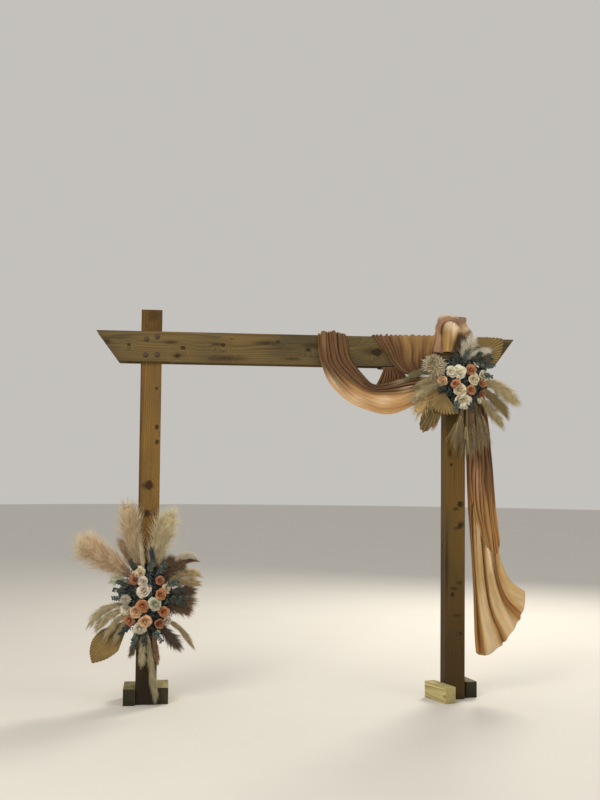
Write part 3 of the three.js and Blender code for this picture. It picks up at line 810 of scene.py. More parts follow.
class ARBOR_OT_timber(bpy.types.Operator):
    """Finish the posts and build the beam boards and the foot blocks with eased edges"""

    bl_idname = "arbor.timber"
    bl_label = "Timber"

    def execute(self, context):
        s = context.scene.arbor_timber
        for node, light, dark in (("left_post", s.post, s.post_dark),
                                  ("right_post", s.right_post, s.right_post_dark)):
            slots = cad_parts[node].data.materials
            slots.clear()
            slots.append(timber_material(
                node + "_wood", light, dark, s.stain, s.ring_spacing, POST_HEARTS[node],
                knots_of(node), smears_of(node), 0.35, foot=FOOT_DAMP_AND_SHADE[node]))
        for board in BEAM_BOARDS:
            self.beam_board(s, *board)
        for number, block in enumerate(FOOT_BLOCKS):
            self.foot_block(s, number, *block)
        return {"FINISHED"}

    def beam_board(self, s, node, side, heart, every):
        """A board whose ends slant in towards its lower edge."""
        material = timber_material(
            node + "_wood", s.beam, s.beam_dark, s.stain, s.ring_spacing, heart,
            knots_of("beam", (0.75, 0, 1))[::every], smears_of("beam"), 0.6,
            turns=((0, -90, 0),), end_axis=0)
        middle = np.array([BEAM_MIDDLE_X, side * (BOARD_INNER + BOARD_OUTER) / 2,
                           (BEAM_TOP + BEAM_BOTTOM) / 2])
        halves = BEAM_HALF_LENGTH, (BOARD_OUTER - BOARD_INNER) / 2, (BEAM_TOP - BEAM_BOTTOM) / 2
        shape = plank(middle, ACROSS, -FRONT, halves, s.eased_edge, BEAM_SLANT)
        put_piece(node + "_eased", shape, material, node)

    def foot_block(self, s, number, node, edge, side, run, turn, pale, ends):
        """An off-cut that lies on the ground with its long side against a post."""
        _, half_width, half_height = BLOCK_HALVES
        sine, cosine = np.sin(np.radians(turn)), np.cos(np.radians(turn))
        along, across = np.array([-sine, cosine, 0]), np.array([cosine, sine, 0])
        middle = (np.array([*edge, half_height]) + side * (half_width + SEAT_GAP) * across
                  + run * along)
        material = timber_material(
            node + "_wood", mix(s.offcut, s.pale_offcut, pale), s.post_dark, s.stain,
            s.ring_spacing * 0.8, (middle[0] + 0.02 * number, -0.06, 0),
            stained=0.55 - 0.25 * pale, turns=((0, 0, -turn), (90, 0, 0)), end_axis=1, ends=ends)
        shape = plank(middle, along, across, BLOCK_HALVES, s.eased_edge)
        put_piece(node + "_eased", shape, material, node)


class ARBOR_OT_bolts(bpy.types.Operator):
    """Build the bolt heads and washers that clamp the beam boards to the posts"""

    bl_idname = "arbor.bolts"
    bl_label = "Bolts"

    def execute(self, context):
        width = context.scene.arbor_timber.bolt_head
        for name, side, posts in (("front", -1, 1), ("back", 1, 2)):
            shapes = []
            for x, z in [(x + 2 * POST_X * k, z) for k in range(posts) for x, z in BOLT_PLACES]:
                seat = {"axis": -side * FRONT, "side": ACROSS, "place": (x, side * BOARD_OUTER, z)}
                shapes += [turned(WASHER * width, 28, **seat),
                           turned(BOLT_HEAD * width, 6, turn=x * 3, **seat)]
            put_piece(f"bolt_heads_{name}", join(shapes), finish_of("steel"), shade_smooth=False)
        return {"FINISHED"}


# Cloth

# Rows are (left edge, right edge) in millimetres, in the order that the cloth runs.
SWAG_ROWS = [
    ((130, 112, 2330), (250, 112, 2330)), ((122, 112, 2420), (252, 112, 2420)),
    ((112, 113, 2498), (254, 113, 2498)), ((109, 106, 2508), (255, 106, 2508)),
    ((104, 70, 2508), (258, 70, 2508)), ((96, 0, 2503), (261, 0, 2503)),
    ((84, -70, 2508), (264, -70, 2508)), ((76, -106, 2508), (267, -106, 2508)),
    ((75, -113, 2498), (268, -113, 2498)), ((80, -113, 2390), (290, -113, 2390)),
    ((102, -113, 2290), (340, -114, 2290)), ((150, -120, 2175), (420, -117, 2195)),
    ((266, -125, 2060), (482, -118, 2166)), ((406, -128, 1994), (560, -118, 2178)),
    ((582, -128, 1964), (686, -118, 2222)), ((760, -128, 2035), (800, -119, 2225)),
    ((930, -124, 2130), (930, -120, 2215)),
]
WRAP_ROWS = [
    ((486, -112, 2166), (716, -113, 2196)), ((514, -111, 2215), (696, -112, 2238)),
    ((534, -112, 2268), (654, -112, 2276)), ((540, -111, 2290), (628, -111, 2292)),
    ((540, -102, 2295), (618, -102, 2295)), ((542, 0, 2295), (614, 0, 2295)),
    ((540, 102, 2295), (622, 102, 2295)), ((534, 113, 2303), (630, 113, 2303)),
    ((500, 113, 2360), (740, 113, 2360)), ((465, 113, 2498), (922, 113, 2498)),
    ((462, 105, 2508), (925, 105, 2508)), ((460, 70, 2508), (925, 70, 2508)),
    ((460, 0, 2503), (925, 0, 2503)), ((462, -70, 2508), (926, -70, 2508)),
    ((465, -106, 2508), (927, -106, 2508)), ((468, -113, 2498), (927, -113, 2498)),
    ((505, -113, 2450), (922, -113, 2460)), ((544, -113, 2396), (912, -113, 2420)),
    ((602, -113, 2306), (893, -113, 2350)), ((680, -116, 2245), (876, -113, 2300)),
    ((770, -118, 2236), (866, -116, 2272)),
]
HOOD_DRAPE_ROWS = [
    ((992, 82, 2514), (1128, 82, 2514)), ((992, 80, 2600), (1128, 80, 2600)),
    ((996, 76, 2650), (1134, 76, 2650)), ((1000, 66, 2659), (1134, 66, 2658)),
    ((994, 0, 2659), (1134, 0, 2658)), ((976, -58, 2659), (1134, -62, 2658)),
    ((956, -74, 2640), (1134, -80, 2640)), ((944, -72, 2598), (1128, -84, 2598)),
    ((942, -82, 2540), (1118, -92, 2540)), ((940, -114, 2490), (1104, -113, 2484)),
    ((936, -126, 2402), (1100, -116, 2400)),
]
HOOD_ARCH_ROWS = [
    ((950, -131, 2392), (868, -117, 2400)), ((949, -129, 2440), (872, -114, 2446)),
    ((947, -123, 2486), (884, -100, 2488)), ((945, -115, 2518), (903, -70, 2520)),
    ((944, -108, 2550), (919, -38, 2550)), ((947, -105, 2582), (938, 0, 2585)),
    ((957, -106, 2604), (962, 42, 2618)), ((975, -106, 2622), (989, 66, 2644)),
    ((1004, -106, 2630), (1014, 72, 2655)), ((1038, -107, 2622), (1052, 72, 2658)),
    ((1068, -108, 2604), (1100, 70, 2655)), ((1088, -109, 2582), (1130, 66, 2646)),
    ((1098, -110, 2562), (1142, 54, 2610)), ((1100, -110, 2540), (1146, 24, 2572)),
    ((1094, -114, 2520), (1150, -20, 2525)), ((1092, -121, 2480), (1152, -66, 2482)),
    ((1092, -127, 2430), (1152, -100, 2436)), ((1092, -131, 2395), (1144, -118, 2400)),
]
TAIL_ROWS = [
    ((1138, -40, 2450), (1138, 45, 2450)), ((1138, -38, 2300), (1200, 45, 2300)),
    ((1142, -25, 1990), (1296, 36, 1990)), ((1149, -14, 1795), (1326, 18, 1700)),
    ((1165, -5, 1373), (1342, 3, 1340)), ((1187, 0, 1093), (1378, -2, 1120)),
    ((1209, -2, 744), (1412, -8, 935)), ((1222, -5, 500), (1476, -15, 790)),
    ((1238, -8, 282), (1590, -22, 706)),
]
TAIL_END_ROWS = [
    ((1146, -80, 2300), (1222, -74, 2300)), ((1148, -78, 1990), (1290, -60, 1990)),
    ((1156, -68, 1700), (1324, -58, 1690)), ((1178, -62, 1400), (1353, -58, 1350)),
    ((1212, -60, 1230), (1388, -60, 1060)),
]
DEEPEST_BEND = 2.05


def averaged(values, width):
    """The running mean of each column over a width of rows, where the end rows repeat."""
    padded = np.pad(values, ((width // 2, width // 2), (0, 0)), "edge")
    return sum(padded[k : k + len(values)] for k in range(width)) / width


def wave(turns):
    """A sine, by its number of turns."""
    return np.sin(TAU * turns)


def gathered(rows, width, folds, columns, spacing, even, pressed, start=0.0, bulge=0.0, fine=0.0,
             crown=lambda u: 0.0):
    """A cloth of one cut width between two edges that lie closer together than that, so that it
    stands in folds. Along each row the cloth's direction swings by an angle that is a sine of the
    distance across it, which gives round folds that never cross. The swing is found, by halving,
    for which the row is as wide as the gap between the edges. even(u, v) shares the swing out, and
    pressed(u, v) flattens the folds on what is under them, or hangs them freely below 0. bulge
    curves the hem, fine adds crinkles to the folds, and crown(u) arches the rows outward by a
    parabola. Gives the points, the pattern's places, how crowded the folds are and the length."""
    edges = curve_through(np.array(rows, float) * MM, spacing)
    left, right = edges[:, 0], edges[:, 1]
    u, v = np.linspace(0, 1, len(left))[:, None], np.linspace(0, 1, columns)[None]
    wander = (0.022 * wave(1.3 * u + 0.9 * v) + 0.014 * wave(3.1 * u - 1.7 * v + 0.3)
              + 0.02 * wave(2.3 * v + 0.1))
    swing = (wave(folds * (v + wander) + start)
             + fine * wave(5.3 * folds * (v + 0.7 * wander) + 2.2 * u))
    part = even(u, v) * (1 + 0.22 * wave(0.43 * folds * v + 1.1 * u))
    gap = np.linalg.norm(right - left, axis=1)
    low, high = np.zeros(len(left)), np.full(len(left), DEEPEST_BEND)
    for _ in range(20):
        middle = (low + high) / 2
        angle = np.minimum(middle[:, None] * part, DEEPEST_BEND) * swing
        wide = np.cos(angle).mean(1) * width > gap
        low, high = np.where(wide, middle, low), np.where(wide, high, middle)
    across, depth = (
        np.cumsum(way(angle), 1) * width / (columns - 1) for way in (np.cos, np.sin))
    across = (across - across[:, :1]) / (across[:, -1:] - across[:, :1])
    depth -= depth[:, :1] + (depth[:, -1:] - depth[:, :1]) * v
    press = pressed(u, v)
    depth = np.where(press > 0, (depth - depth.min(1, keepdims=True)) * press, depth * -press)
    arch = 4 * across * (1 - across)
    depth += crown(u) * arch
    along = unit(np.gradient(left + right, axis=0))
    outward = unit(averaged(unit(np.cross(along, unit(right - left))), 5))
    points = (left[:, None] + (right - left)[:, None] * across[..., None]
              + outward[:, None] * depth[..., None])
    corner = 0.3 * (np.exp(-across / 0.05) + np.exp(-(1 - across) / 0.05))
    hem = bulge * (arch.clip(0) ** 0.7 - corner) * onward(u, 0.62, 1)
    points = points + along[:, None] * hem[..., None]
    run = distance_run(points.mean(1))
    uv = np.stack(np.broadcast_arrays(v * width, run[:, None]), -1)
    return points, uv, averaged(np.abs(angle).T, 9).T, run[-1]


def put_cloth(name, node, made, sheer=0.0, lit=0.0, glow=0.0, patches=()):
    """A sheet of cloth: tinted by how crowded its folds are and by patches of other colours, some
    of them painted shade and painted sunlight, and thickened. lit moves it towards its single
    colour, and glow moves its folds to another, a painted glow of light through them."""
    s = bpy.context.scene.arbor_drape
    points, uv, crowd, length = made
    single = 1 - onward(crowd, 0.25, 1.05)
    tint = mix(s.shade, s.light, np.clip(single + lit, 0, 1)[..., None])
    for share, tone in ((glow * (1 - 0.75 * single), s.glow), *patches):
        tint = mix(tint, tone, np.asarray(share)[..., None])
    tint = np.concatenate([tint, 1 - sheer * single[..., None]], -1)
    index = np.arange(crowd.size).reshape(crowd.shape)
    shape = Shape(points, [quads(index)[:, ::-1]], tint, uv)
    piece = put_piece(name, shape, finish_of("cloth"), node)
    wall = piece.modifiers.new("cloth thickness", "SOLIDIFY")
    wall.thickness = s.thickness
    wall.offset = 0


def over(made):
    """The shares along and across a cloth, for each of its points."""
    rows, columns = made[2].shape
    return np.linspace(0, 1, rows)[:, None], np.linspace(0, 1, columns)[None]


def spot(u, v, at, reach):
    """A soft spot: 1 at its centre, falling as a bell along and across the cloth."""
    return np.exp(-(((u - at[0]) / reach[0]) ** 2) - ((v - at[1]) / reach[1]) ** 2)


def spell(t, start, full, fade, end):
    """Rises from 0 to 1 between two values and falls back between two others."""
    return onward(t, start, full) * (1 - onward(t, fade, end))


def ridges(v):
    """The three great folds of the tail."""
    middles, reaches = np.array([0.07, 0.46, 0.82]), np.array([0.08, 0.09, 0.08])
    return np.minimum(np.exp(-(((v[..., None] - middles) / reaches) ** 2)).sum(-1), 1)


class ARBOR_OT_drapes(bpy.types.Operator):
    """Drape the hood, the swag, the beam wrap and the tail"""

    bl_idname = "arbor.drapes"
    bl_label = "Drapes"

    def execute(self, context):
        s = context.scene.arbor_drape
        boards = ["front_beam_board_eased", "back_beam_board_eased"]
        self.swag(s, boards)
        self.beam_wrap(s, boards)
        self.hood_drape(s, boards)
        self.hood_arch(s, boards)
        self.tail(s)
        self.tail_end(s)
        return {"FINISHED"}

    def swag(self, s, boards):
        """Up behind the beam, over its top and down in front, then in a bow up to the flowers.
        Its folds are shallower along the bow's lower edge, where one layer hangs in the light."""
        swag = gathered(
            SWAG_ROWS, s.cloth_width, s.swag_folds, 141, 0.0115,
            lambda u, v: 1 - 0.62 * onward(u, 0.4, 0.62) * (1 - onward(v, 0.25, 0.55)),
            lambda u, v: (0.8 - 0.5 * (1 - onward(u, 0.35, 0.45)) * (1 - np.sin(np.pi * v))
                          + 0.2 * onward(u, 0.35, 0.5)), 0.1, 0, 0.15)
        u, v = over(swag)
        low = onward(u, 0.42, 0.6) * (1 - onward(v, 0.3, 0.55))
        # Painted sunlight in soft spots along the bow.
        sunny = [(0.62, 0.1), (0.52, 0.06), (0.76, 0.82), (0.82, 0.42), (0.72, 0.22)]
        lit = np.minimum(sum(spot(u, v, at, (0.045, 0.1)) for at in sunny), 1)
        put_cloth("swag_scarf", "drape_swag", swag, 0.5,
                  0.3 * low, 0.15 * low, [(0.55 * lit, s.bright)])

    def beam_wrap(self, s, boards):
        """From the swag under the beam and up behind it, over its top and down in front towards
        the flowers. It is pressed flat under the beam and on its top."""
        scarf = 0.8 * s.cloth_width
        wrap = gathered(
            WRAP_ROWS, scarf, s.wrap_folds, 161, 0.0125,
            lambda u, v: 1 - 0.4 * onward(v, 0.3, 0.5) * onward(u, 0.5, 0.7),
            lambda u, v: (0.92 - 0.74 * spell(u, 0.08, 0.12, 0.3, 0.36)
                          - 0.5 * spell(u, 0.48, 0.54, 0.66, 0.72)), 0.25)
        put_cloth("beam_wrap_scarf", "drape_beam_wrap", wrap, 0.0, -0.4)

    def hood_drape(self, s, boards):
        """Up the post's back, over its top and down its front into the flowers. The front bulges,
        with painted shade in its hollows and at its side and painted sunlight where the sun falls."""
        drape = gathered(
            HOOD_DRAPE_ROWS, s.hood_width, 2, 105, 0.009, lambda u, v: 1.0,
            lambda u, v: ((0.35 + 0.4 * onward(u, 0.62, 0.8))
                          * (1 - 0.8 * onward(v, 0.6, 0.72) * (1 - onward(u, 0.6, 0.8)))),
            -0.12, 0, 0.2, lambda u: 0.024 * spell(u, 0.54, 0.63, 0.76, 0.9))
        u, v = over(drape)
        front, low = onward(u, 0.44, 0.52), onward(u + 0.06 * np.sin(9 * v), 0.6, 0.84)
        # Painted shade down the front's left edge, where it is set back.
        hollow_shade = spell(u, 0.5, 0.58, 0.74, 0.84) * (1 - onward(v, 0.02, 0.14))
        # Painted shade down the right of the front's lower part.
        beside = onward(u, 0.71, 0.81) * onward(v + 0.66 * u, 1.12, 1.26)
        # A panel in the mauve of cloth turned from the sun, with painted shade over it.
        panel = (onward(u, 0.46, 0.51) * (1 - onward(u + 0.04 * np.sin(7 * v), 0.58, 0.63))
                 * onward(v, 0.5, 0.62))
        # Painted sunlight on the upper front.
        pale = front * (1 - low) * onward(v, 0.06, 0.18) * (1 - 0.5 * onward(v, 0.6, 0.8))
        put_cloth("hood_drape_scarf", "drape_hood", drape,
                  patches=[
                      (0.9 * front * low, s.light), (0.35 * front * (1 - low), s.glow),
                      (0.95 * pale, s.bright), (0.9 * beside, s.deep), (0.92 * hollow_shade, s.deep),
                      (0.9 * panel, s.mauve), (0.35 * panel, s.deep)])

    def hood_arch(self, s, boards):
        """From the flowers up the post's inner side, over its top and down its outer side, arched
        outward from where it turns over."""
        scarf = 0.74 * s.hood_width
        arch = gathered(
            HOOD_ARCH_ROWS, scarf, 1, 97, 0.010, lambda u, v: 1.0,
            lambda u, v: 0.5 - 0.3 * onward(u, 0.34, 0.42) + 0.2 * onward(u, 0.6, 0.75), 0, 0, 0.35,
            lambda u: 0.04 * onward(u, 0.34, 0.42))
        u, v = over(arch)
        # Painted sunlight over the top and in one spot on the outer shoulder; painted shade in a
        # spot near the front rim and down the outer side's lower part.
        pale = onward(v, 0.14, 0.3) * spell(u, 0.38, 0.44, 0.62, 0.66)
        put_cloth("hood_arch_scarf", "drape_hood", arch,
                  0.0, -0.45, 0.0,
                  [(0.8 * (1 - onward(u, 0.62, 0.7)), s.mauve), (0.85 * pale, s.bright),
                   (0.4 * spot(u, v, (0.57, 0.1), (0.06, 0.4)), s.deep),
                   (0.75 * spot(u, v, (0.68, 0.35), (0.045, 0.5)), s.bright),
                   (0.5 * onward(u, 0.76, 0.86), s.deep)])

    def tail(self, s):
        """Down the post's outer side, spreading away from it, with three great folds in its lower
        half and a hem that bows down between its corners."""
        tail = gathered(
            TAIL_ROWS, s.cloth_width, s.tail_folds, 121, 0.016,
            lambda u, v: 1 - 0.7 * onward(u, 0.5, 0.7) * (1 - ridges(v)),
            lambda u, v: -1.0, 0.05, 0.095)
        u, v = over(tail)
        lower = onward(u, 0.36, 0.55)
        # Painted sunlight in two spots.
        sunny = spot(u, v, (0.6, 0.3), (0.08, 0.07)) + spot(u, v, (0.72, 0.66), (0.07, 0.08))
        put_cloth("tail_scarf", "drape_tail", tail, 0.66,
                  0.5 * lower, 0.5 * lower, [(0.6 * lower * (1 - ridges(v)), s.gold),
                                             (0.85 * sunny, s.bright)])

    def tail_end(self, s):
        """A shorter layer in front of the tail, with crinkles in its folds. It ends in a bowed hem
        just past the tail's middle."""
        scarf = 0.75 * s.cloth_width
        end = gathered(
            TAIL_END_ROWS, scarf, s.tail_folds, 121, 0.016, lambda u, v: 1.0,
            lambda u, v: -0.64, 0.35, 0.13, 0.2)
        u, v = over(end)
        low = onward(u, 0.66, 0.9)
        # Painted sunlight: a lit band down the left and a spot, in the glow colour with some sunlit
        # cream.
        sunlit_streak = np.minimum(
            spot(u, v, (0.25, 0.08), (0.3, 0.1)) + spot(u, v, (0.68, 0.3), (0.1, 0.16)), 1)
        put_cloth("tail_end_scarf", "drape_tail", end, 0.25,
                  0.3 * low, 0.6 * low, [(0.9 * sunlit_streak, s.glow), (0.25 * sunlit_streak, s.bright),
                                         (0.5 * low, s.light)])


# Blooms

# Each bloom is (x, z) from its spray's centre, radius, colour and kind, in millimetres.
BLOOMS = {
    "lower_blooms_top": [
        (-51, 186, 42, "cream", "rose"), (-83, 141, 38, "rust", "rose"),
        (-30, 130, 36, "blush", "rose"), (-22, 70, 45, "blush", "rose")],
    "lower_blooms_left": [
        (-134, 7, 38, "white", "spiky"), (-140, -61, 35, "white", "open"),
        (-72, -65, 42, "peach", "rose"), (-115, -129, 40, "orange", "rose"),
        (-29, -30, 46, "orange", "rose")],
    "lower_blooms_right": [
        (83, 133, 34, "rust", "rose"), (131, 82, 38, "cream", "rose"),
        (90, 42, 41, "orange", "rose"), (51, -17, 48, "ivory", "rose"),
        (111, -74, 39, "orange", "rose")],
    "lower_blooms_bottom": [
        (-10, -134, 45, "peach", "rose"), (-45, -180, 47, "white", "rose"),
        (84, -153, 37, "rust", "rose"), (132, -140, 34, "blush", "rose")],
    "upper_blooms_left": [
        (-150, -7, 38, "peach", "rose"), (-83, 58, 36, "white", "open"),
        (-34, 52, 44, "white", "open")],
    "upper_blooms_centre": [
        (-62, -28, 36, "orange", "rose"), (-27, -68, 46, "cream", "open"),
        (4, -141, 50, "white", "open")],
    "upper_blooms_right": [
        (52, 72, 40, "orange", "rose"), (70, 9, 38, "cream", "rose"),
        (51, -66, 36, "orange", "rose"), (108, 128, 32, "white", "open")],
    "upper_blooms_outer": [
        (150, 35, 36, "white", "open"), (138, -20, 32, "orange", "rose"),
        (140, -90, 28, "rust", "rose"), (118, -128, 32, "white", "bud")],
}
# Layers of petals from the centre out: how many, the rim's radius and height, the half width of a
# petal as an angle, and how far the rim rolls back, for a bloom of radius 1.
PETALS = {
    "rose": [(2, 0.06, 0.66, 1.9, 0.0), (3, 0.15, 0.68, 1.4, 0.02), (3, 0.26, 0.66, 1.3, 0.04),
             (4, 0.39, 0.60, 1.1, 0.06), (4, 0.54, 0.50, 1.1, 0.08), (5, 0.71, 0.32, 0.95, 0.11),
             (5, 0.88, 0.06, 0.92, 0.13)],
    "open": [(3, 0.16, 0.30, 1.3, 0.01), (3, 0.42, 0.42, 1.15, 0.05), (4, 0.74, 0.36, 0.95, 0.10),
             (5, 1.02, 0.05, 0.86, 0.14)],
    "bud": [(2, 0.14, 0.95, 1.9, 0.0), (3, 0.30, 0.95, 1.3, 0.03), (4, 0.48, 0.80, 1.0, 0.06),
            (4, 0.62, 0.55, 0.9, 0.10)],
}
BLOOM_BASE = -0.45
# The closed bud inside a bloom: its radius and height at steps, for a bloom of radius 1.
HEARTS = {
    "rose": [(0.02, -0.4), (0.2, -0.2), (0.2, 0.3), (0.14, 0.5), (0.05, 0.6), (0.01, 0.61)],
    "open": [(0.02, -0.4), (0.16, -0.2), (0.2, 0.02), (0.13, 0.14), (0.05, 0.2), (0.01, 0.21)],
    "bud": [(0.02, -0.4), (0.2, -0.2), (0.2, 0.5), (0.14, 0.75), (0.05, 0.86), (0.01, 0.87)],
}
# The core under the bracts of a spiky head, and the sepals behind a bloom, in the same way.
SPIKY_CORE = [(0.02, -0.5), (0.5, -0.3), (0.55, 0.1), (0.3, 0.4), (0.02, 0.48)]
SEPALS = [(0.05, -0.75), (0.16, -0.6), (0.34, -0.42), (0.05, -0.3)]
SEPAL_TONE, BRACT_TIP_TONE = srgb("4c5a3c"), (1.0, 0.92, 0.78)
# How much a head turns from the mound's own slope to the front, and how far it stands off
FRONT_TURN = 0.55
HEAD_LIFT, SPIKY_LIFT = 0.006, 0.02
# The spiky flower's stem, from its root to its head, in millimetres from the upper spray's centre,
# the way that it faces, its radius, its number of bracts, and its colours inside and outside
SPIKY_STEM = [(-120, -40, 60), (-203, -58, 92)]
SPIKY_FACING, SPIKY_RADIUS, SPIKY_BRACTS = (-0.3, -0.9, 0.15), 0.085, 175
SPIKY_TONES, SPIKY_STEM_TONE = (srgb("f0dcae"), srgb("fff4d6")), srgb("6f6238")


def petals(rng, kind):
    """Petals of a bloom of radius 1 about Z. Along a petal, from its base, the radius grows
    quickly and then slowly and the height slowly and then quickly, which makes a cup; near the rim
    it rolls outward and down. Across it, the angle about Z spreads by its half width."""
    layers = np.array([row for row in PETALS[kind] for _ in range(row[0])], float)
    number = np.concatenate([np.arange(row[0]) for row in PETALS[kind]])
    level = np.concatenate([np.full(row[0], k) for k, row in enumerate(PETALS[kind])])
    rim, height, half, roll = layers.T[1:, :, None, None]

    def jitter(scale):
        return rng.normal(0, scale, (len(layers), 1, 1))

    turns = number / layers[:, 0] + GOLDEN_SHARE * level
    start = TAU * turns[:, None, None] + jitter(0.14)
    s, t = grid(6, 6)
    grown = s * (1 - 0.15 * np.abs(t) ** 3.4)
    rim, height = rim * (1 + jitter(0.09)), height + jitter(0.05)
    ruffle = 0.05 * np.sin(4.6 * t + jitter(2)) * s**3 * rim
    radius = (0.04 + (rim - 0.04) * grown**0.75 + roll * onward(grown, 0.72, 1)
              + 0.05 * rim * t * s - 0.05 * rim * t**2 * (1 - s) + ruffle)
    z = (BLOOM_BASE + (height - BLOOM_BASE) * grown**1.55 - 0.6 * roll * onward(grown, 0.8, 1)
         + ruffle * 0.6)
    angle = start + half * t * (0.45 + 0.55 * np.sin(np.pi * np.minimum(grown * 0.75, 0.5)))
    points = np.stack(np.broadcast_arrays(radius * np.cos(angle), radius * np.sin(angle), z), -1)
    return points[:, :, ::-1], np.broadcast_to(s, points.shape[:3])


def facing_frame(facing, rng):
    """Two directions square to a facing, turned at random, and the facing itself, as columns."""
    facing = unit(np.asarray(facing, float))
    side = unit(np.cross(unit(rng.normal(size=3)), facing))
    return np.stack([side, np.cross(facing, side), facing], -1)


def on_mound(mound, x, z):
    """Where a flower stands on a spray's mound, an ellipsoid, and the way that it faces."""
    centre, (a, b, c) = mound
    out = np.sqrt(np.maximum(0.06, 1 - (x / a) ** 2 - (z / c) ** 2))
    return centre + (x, -b * out, z), unit(np.array([x / a**2, -out / b, z / c**2]))


def solid_of(profile, radius, sides, turn, seat, tint):
    """A profile, given for a bloom of radius 1, turned about the bloom's facing."""
    return turned(np.array(profile) * radius, sides, turn[:, 2], turn[:, 0], seat, tint)


def spiky_head(rng, seat, facing, radius, inner, outer, number=150):
    """A round head of pointed bracts that stand out all over its front half."""
    turn = facing_frame(facing, rng)
    k = np.arange(number)
    out = directions(k * GOLDEN_ANGLE, 1 - 1.15 * (k + 0.5) / number)
    length = radius * (0.95 + 0.12 * rng.normal(size=number))[:, None, None]
    s, t = grid(5, 3)
    side = unit(np.cross(out, (0.3, 0.2, 1.0)))
    wide = 0.11 * radius * np.sin(np.pi * np.clip(s, 0.06, 0.98) ** 0.8) ** 0.9
    points = reaching((out, 0.25 * radius + s * length * 0.8), (side, t * wide),
                      (np.cross(out, side), 0.1 * radius * s**2 * (1 - t**2)))
    tint = mix(inner, outer, s[..., None])
    core = solid_of(SPIKY_CORE, radius, 12, turn, seat, inner)
    return [lenses(seat + points @ turn.T, 0.02 * radius, tint), core]


def bloom(rng, seat, facing, radius, kind, main):
    """One flower head with its petals, each one deeper at its base, partly its own colour and
    partly painted shade between the petals, and with a painted highlight at its rim.
    """
    main = np.array(main)
    if kind == "spiky":
        return spiky_head(rng, seat, facing, radius, main, BRACT_TIP_TONE)
    turn = facing_frame(facing, rng)
    points, along = petals(rng, kind)
    # Deeper at the base: partly the bloom's own colour, partly painted shade; the heart wears it
    # too.
    deep = main * (0.97, 0.8, 0.62) if main[2] < 0.35 else main * (0.98, 0.92, 0.82)
    tint = mix(deep, main, onward(along, 0.3, 0.8)[..., None])
    # Painted highlight along each petal's rim.
    tint = mix(tint, mix(main, (1.0, 0.84, 0.62), 0.24), onward(along, 0.75, 1)[..., None])
    tint = tint * (1 + 0.09 * rng.normal(size=(len(points), 1, 1, 1)))
    return [lenses(seat + radius * points @ turn.T, 0.03 * radius, np.clip(tint, 0, 1)),
            solid_of(SEPALS, radius, 8, turn, seat, SEPAL_TONE),
            solid_of(HEARTS[kind], radius, 10, turn, seat, deep)]


class ARBOR_OT_blooms(bpy.types.Operator):
    """Build the silk roses and open blooms of both sprays"""

    bl_idname = "arbor.blooms"
    bl_label = "Blooms"

    def execute(self, context):
        s = context.scene.arbor_flowers
        for number, (node, heads) in enumerate(BLOOMS.items()):
            rng = np.random.default_rng(BLOOM_SEED + number)
            shapes = []
            for x, z, radius, tone, kind in heads:
                seat, facing = on_mound(spray_of(node), x * MM, z * MM)
                facing = unit(facing + FRONT_TURN * FRONT)
                seat = seat + facing * (SPIKY_LIFT if kind == "spiky" else HEAD_LIFT)
                shapes += bloom(rng, seat, facing, radius * MM, kind, getattr(s, tone))
            put_piece(node.replace("blooms", "flower_heads"), join(shapes), finish_of("petal"),
                      node)
        return {"FINISHED"}


class ARBOR_OT_spiky_flower(bpy.types.Operator):
    """Build the spiky dried flower at the upper spray's left"""

    bl_idname = "arbor.spiky_flower"
    bl_label = "Spiky flower"

    def execute(self, context):
        rng = np.random.default_rng(SPIKY_SEED)
        root, seat = SPRAYS["upper"][0] + np.array(SPIKY_STEM) * MM
        shapes = spiky_head(rng, seat, SPIKY_FACING, SPIKY_RADIUS, *SPIKY_TONES, SPIKY_BRACTS)
        shapes.append(stem(np.linspace(root, seat, 6), 0.004, 6, SPIKY_STEM_TONE))
        put_piece("upper_spiky_head", join(shapes), finish_of("petal"),
                  "upper_spiky_flower")
        return {"FINISHED"}


# Foliage

LEAF_THICKNESS = 0.0012
LEAF_FOLD, LEAF_DROOP = 0.12, 0.25
SPRIG_TONE = srgb("4a4a34")
# The share of a mound that its core fills, painted near-black as the shade between the leaves, and
# the share of a flower head's radius that leaves keep off
CORE_SHARE, HEAD_SHARE = 0.86, 0.86
# Sprigs are (start, tip) in millimetres from the spray's centre, and the number of leaf pairs.
SPRIGS = {
    "lower": [
        ((-120, -60, 60), (-215, -70, 75), 6), ((-120, -60, 30), (-222, -80, 18), 6),
        ((-110, -60, 90), (-190, -90, 128), 5), ((130, -60, 0), (262, -80, 18), 7),
        ((130, -60, 20), (250, -100, -22), 6), ((120, -60, 100), (196, -100, 130), 5),
        ((120, -60, 60), (236, -90, 70), 6), ((-60, -60, -190), (-92, -80, -300), 6),
        ((-20, -60, -200), (-10, -90, -286), 5), ((40, -60, -190), (96, -80, -262), 5),
        ((-110, -60, -150), (-168, -90, -216), 5), ((0, -60, 180), (40, -90, 262), 5),
        ((-70, -60, 190), (-112, -90, 262), 5), ((60, -60, 170), (120, -90, 240), 5)],
    "upper": [
        ((-30, -60, 110), (-62, -90, 196), 6), ((0, -60, 120), (24, -90, 196), 6),
        ((90, -60, 110), (186, -90, 158), 6), ((100, -60, 90), (212, -100, 108), 6),
        ((60, -60, 120), (120, -90, 190), 5), ((-120, -60, 70), (-198, -90, 118), 5),
        ((-110, -60, -40), (-176, -90, -72), 4), ((-30, -60, -120), (-60, -80, -216), 6),
        ((40, -60, -140), (60, -80, -214), 4), ((130, -60, 40), (198, -90, 30), 5)],
}


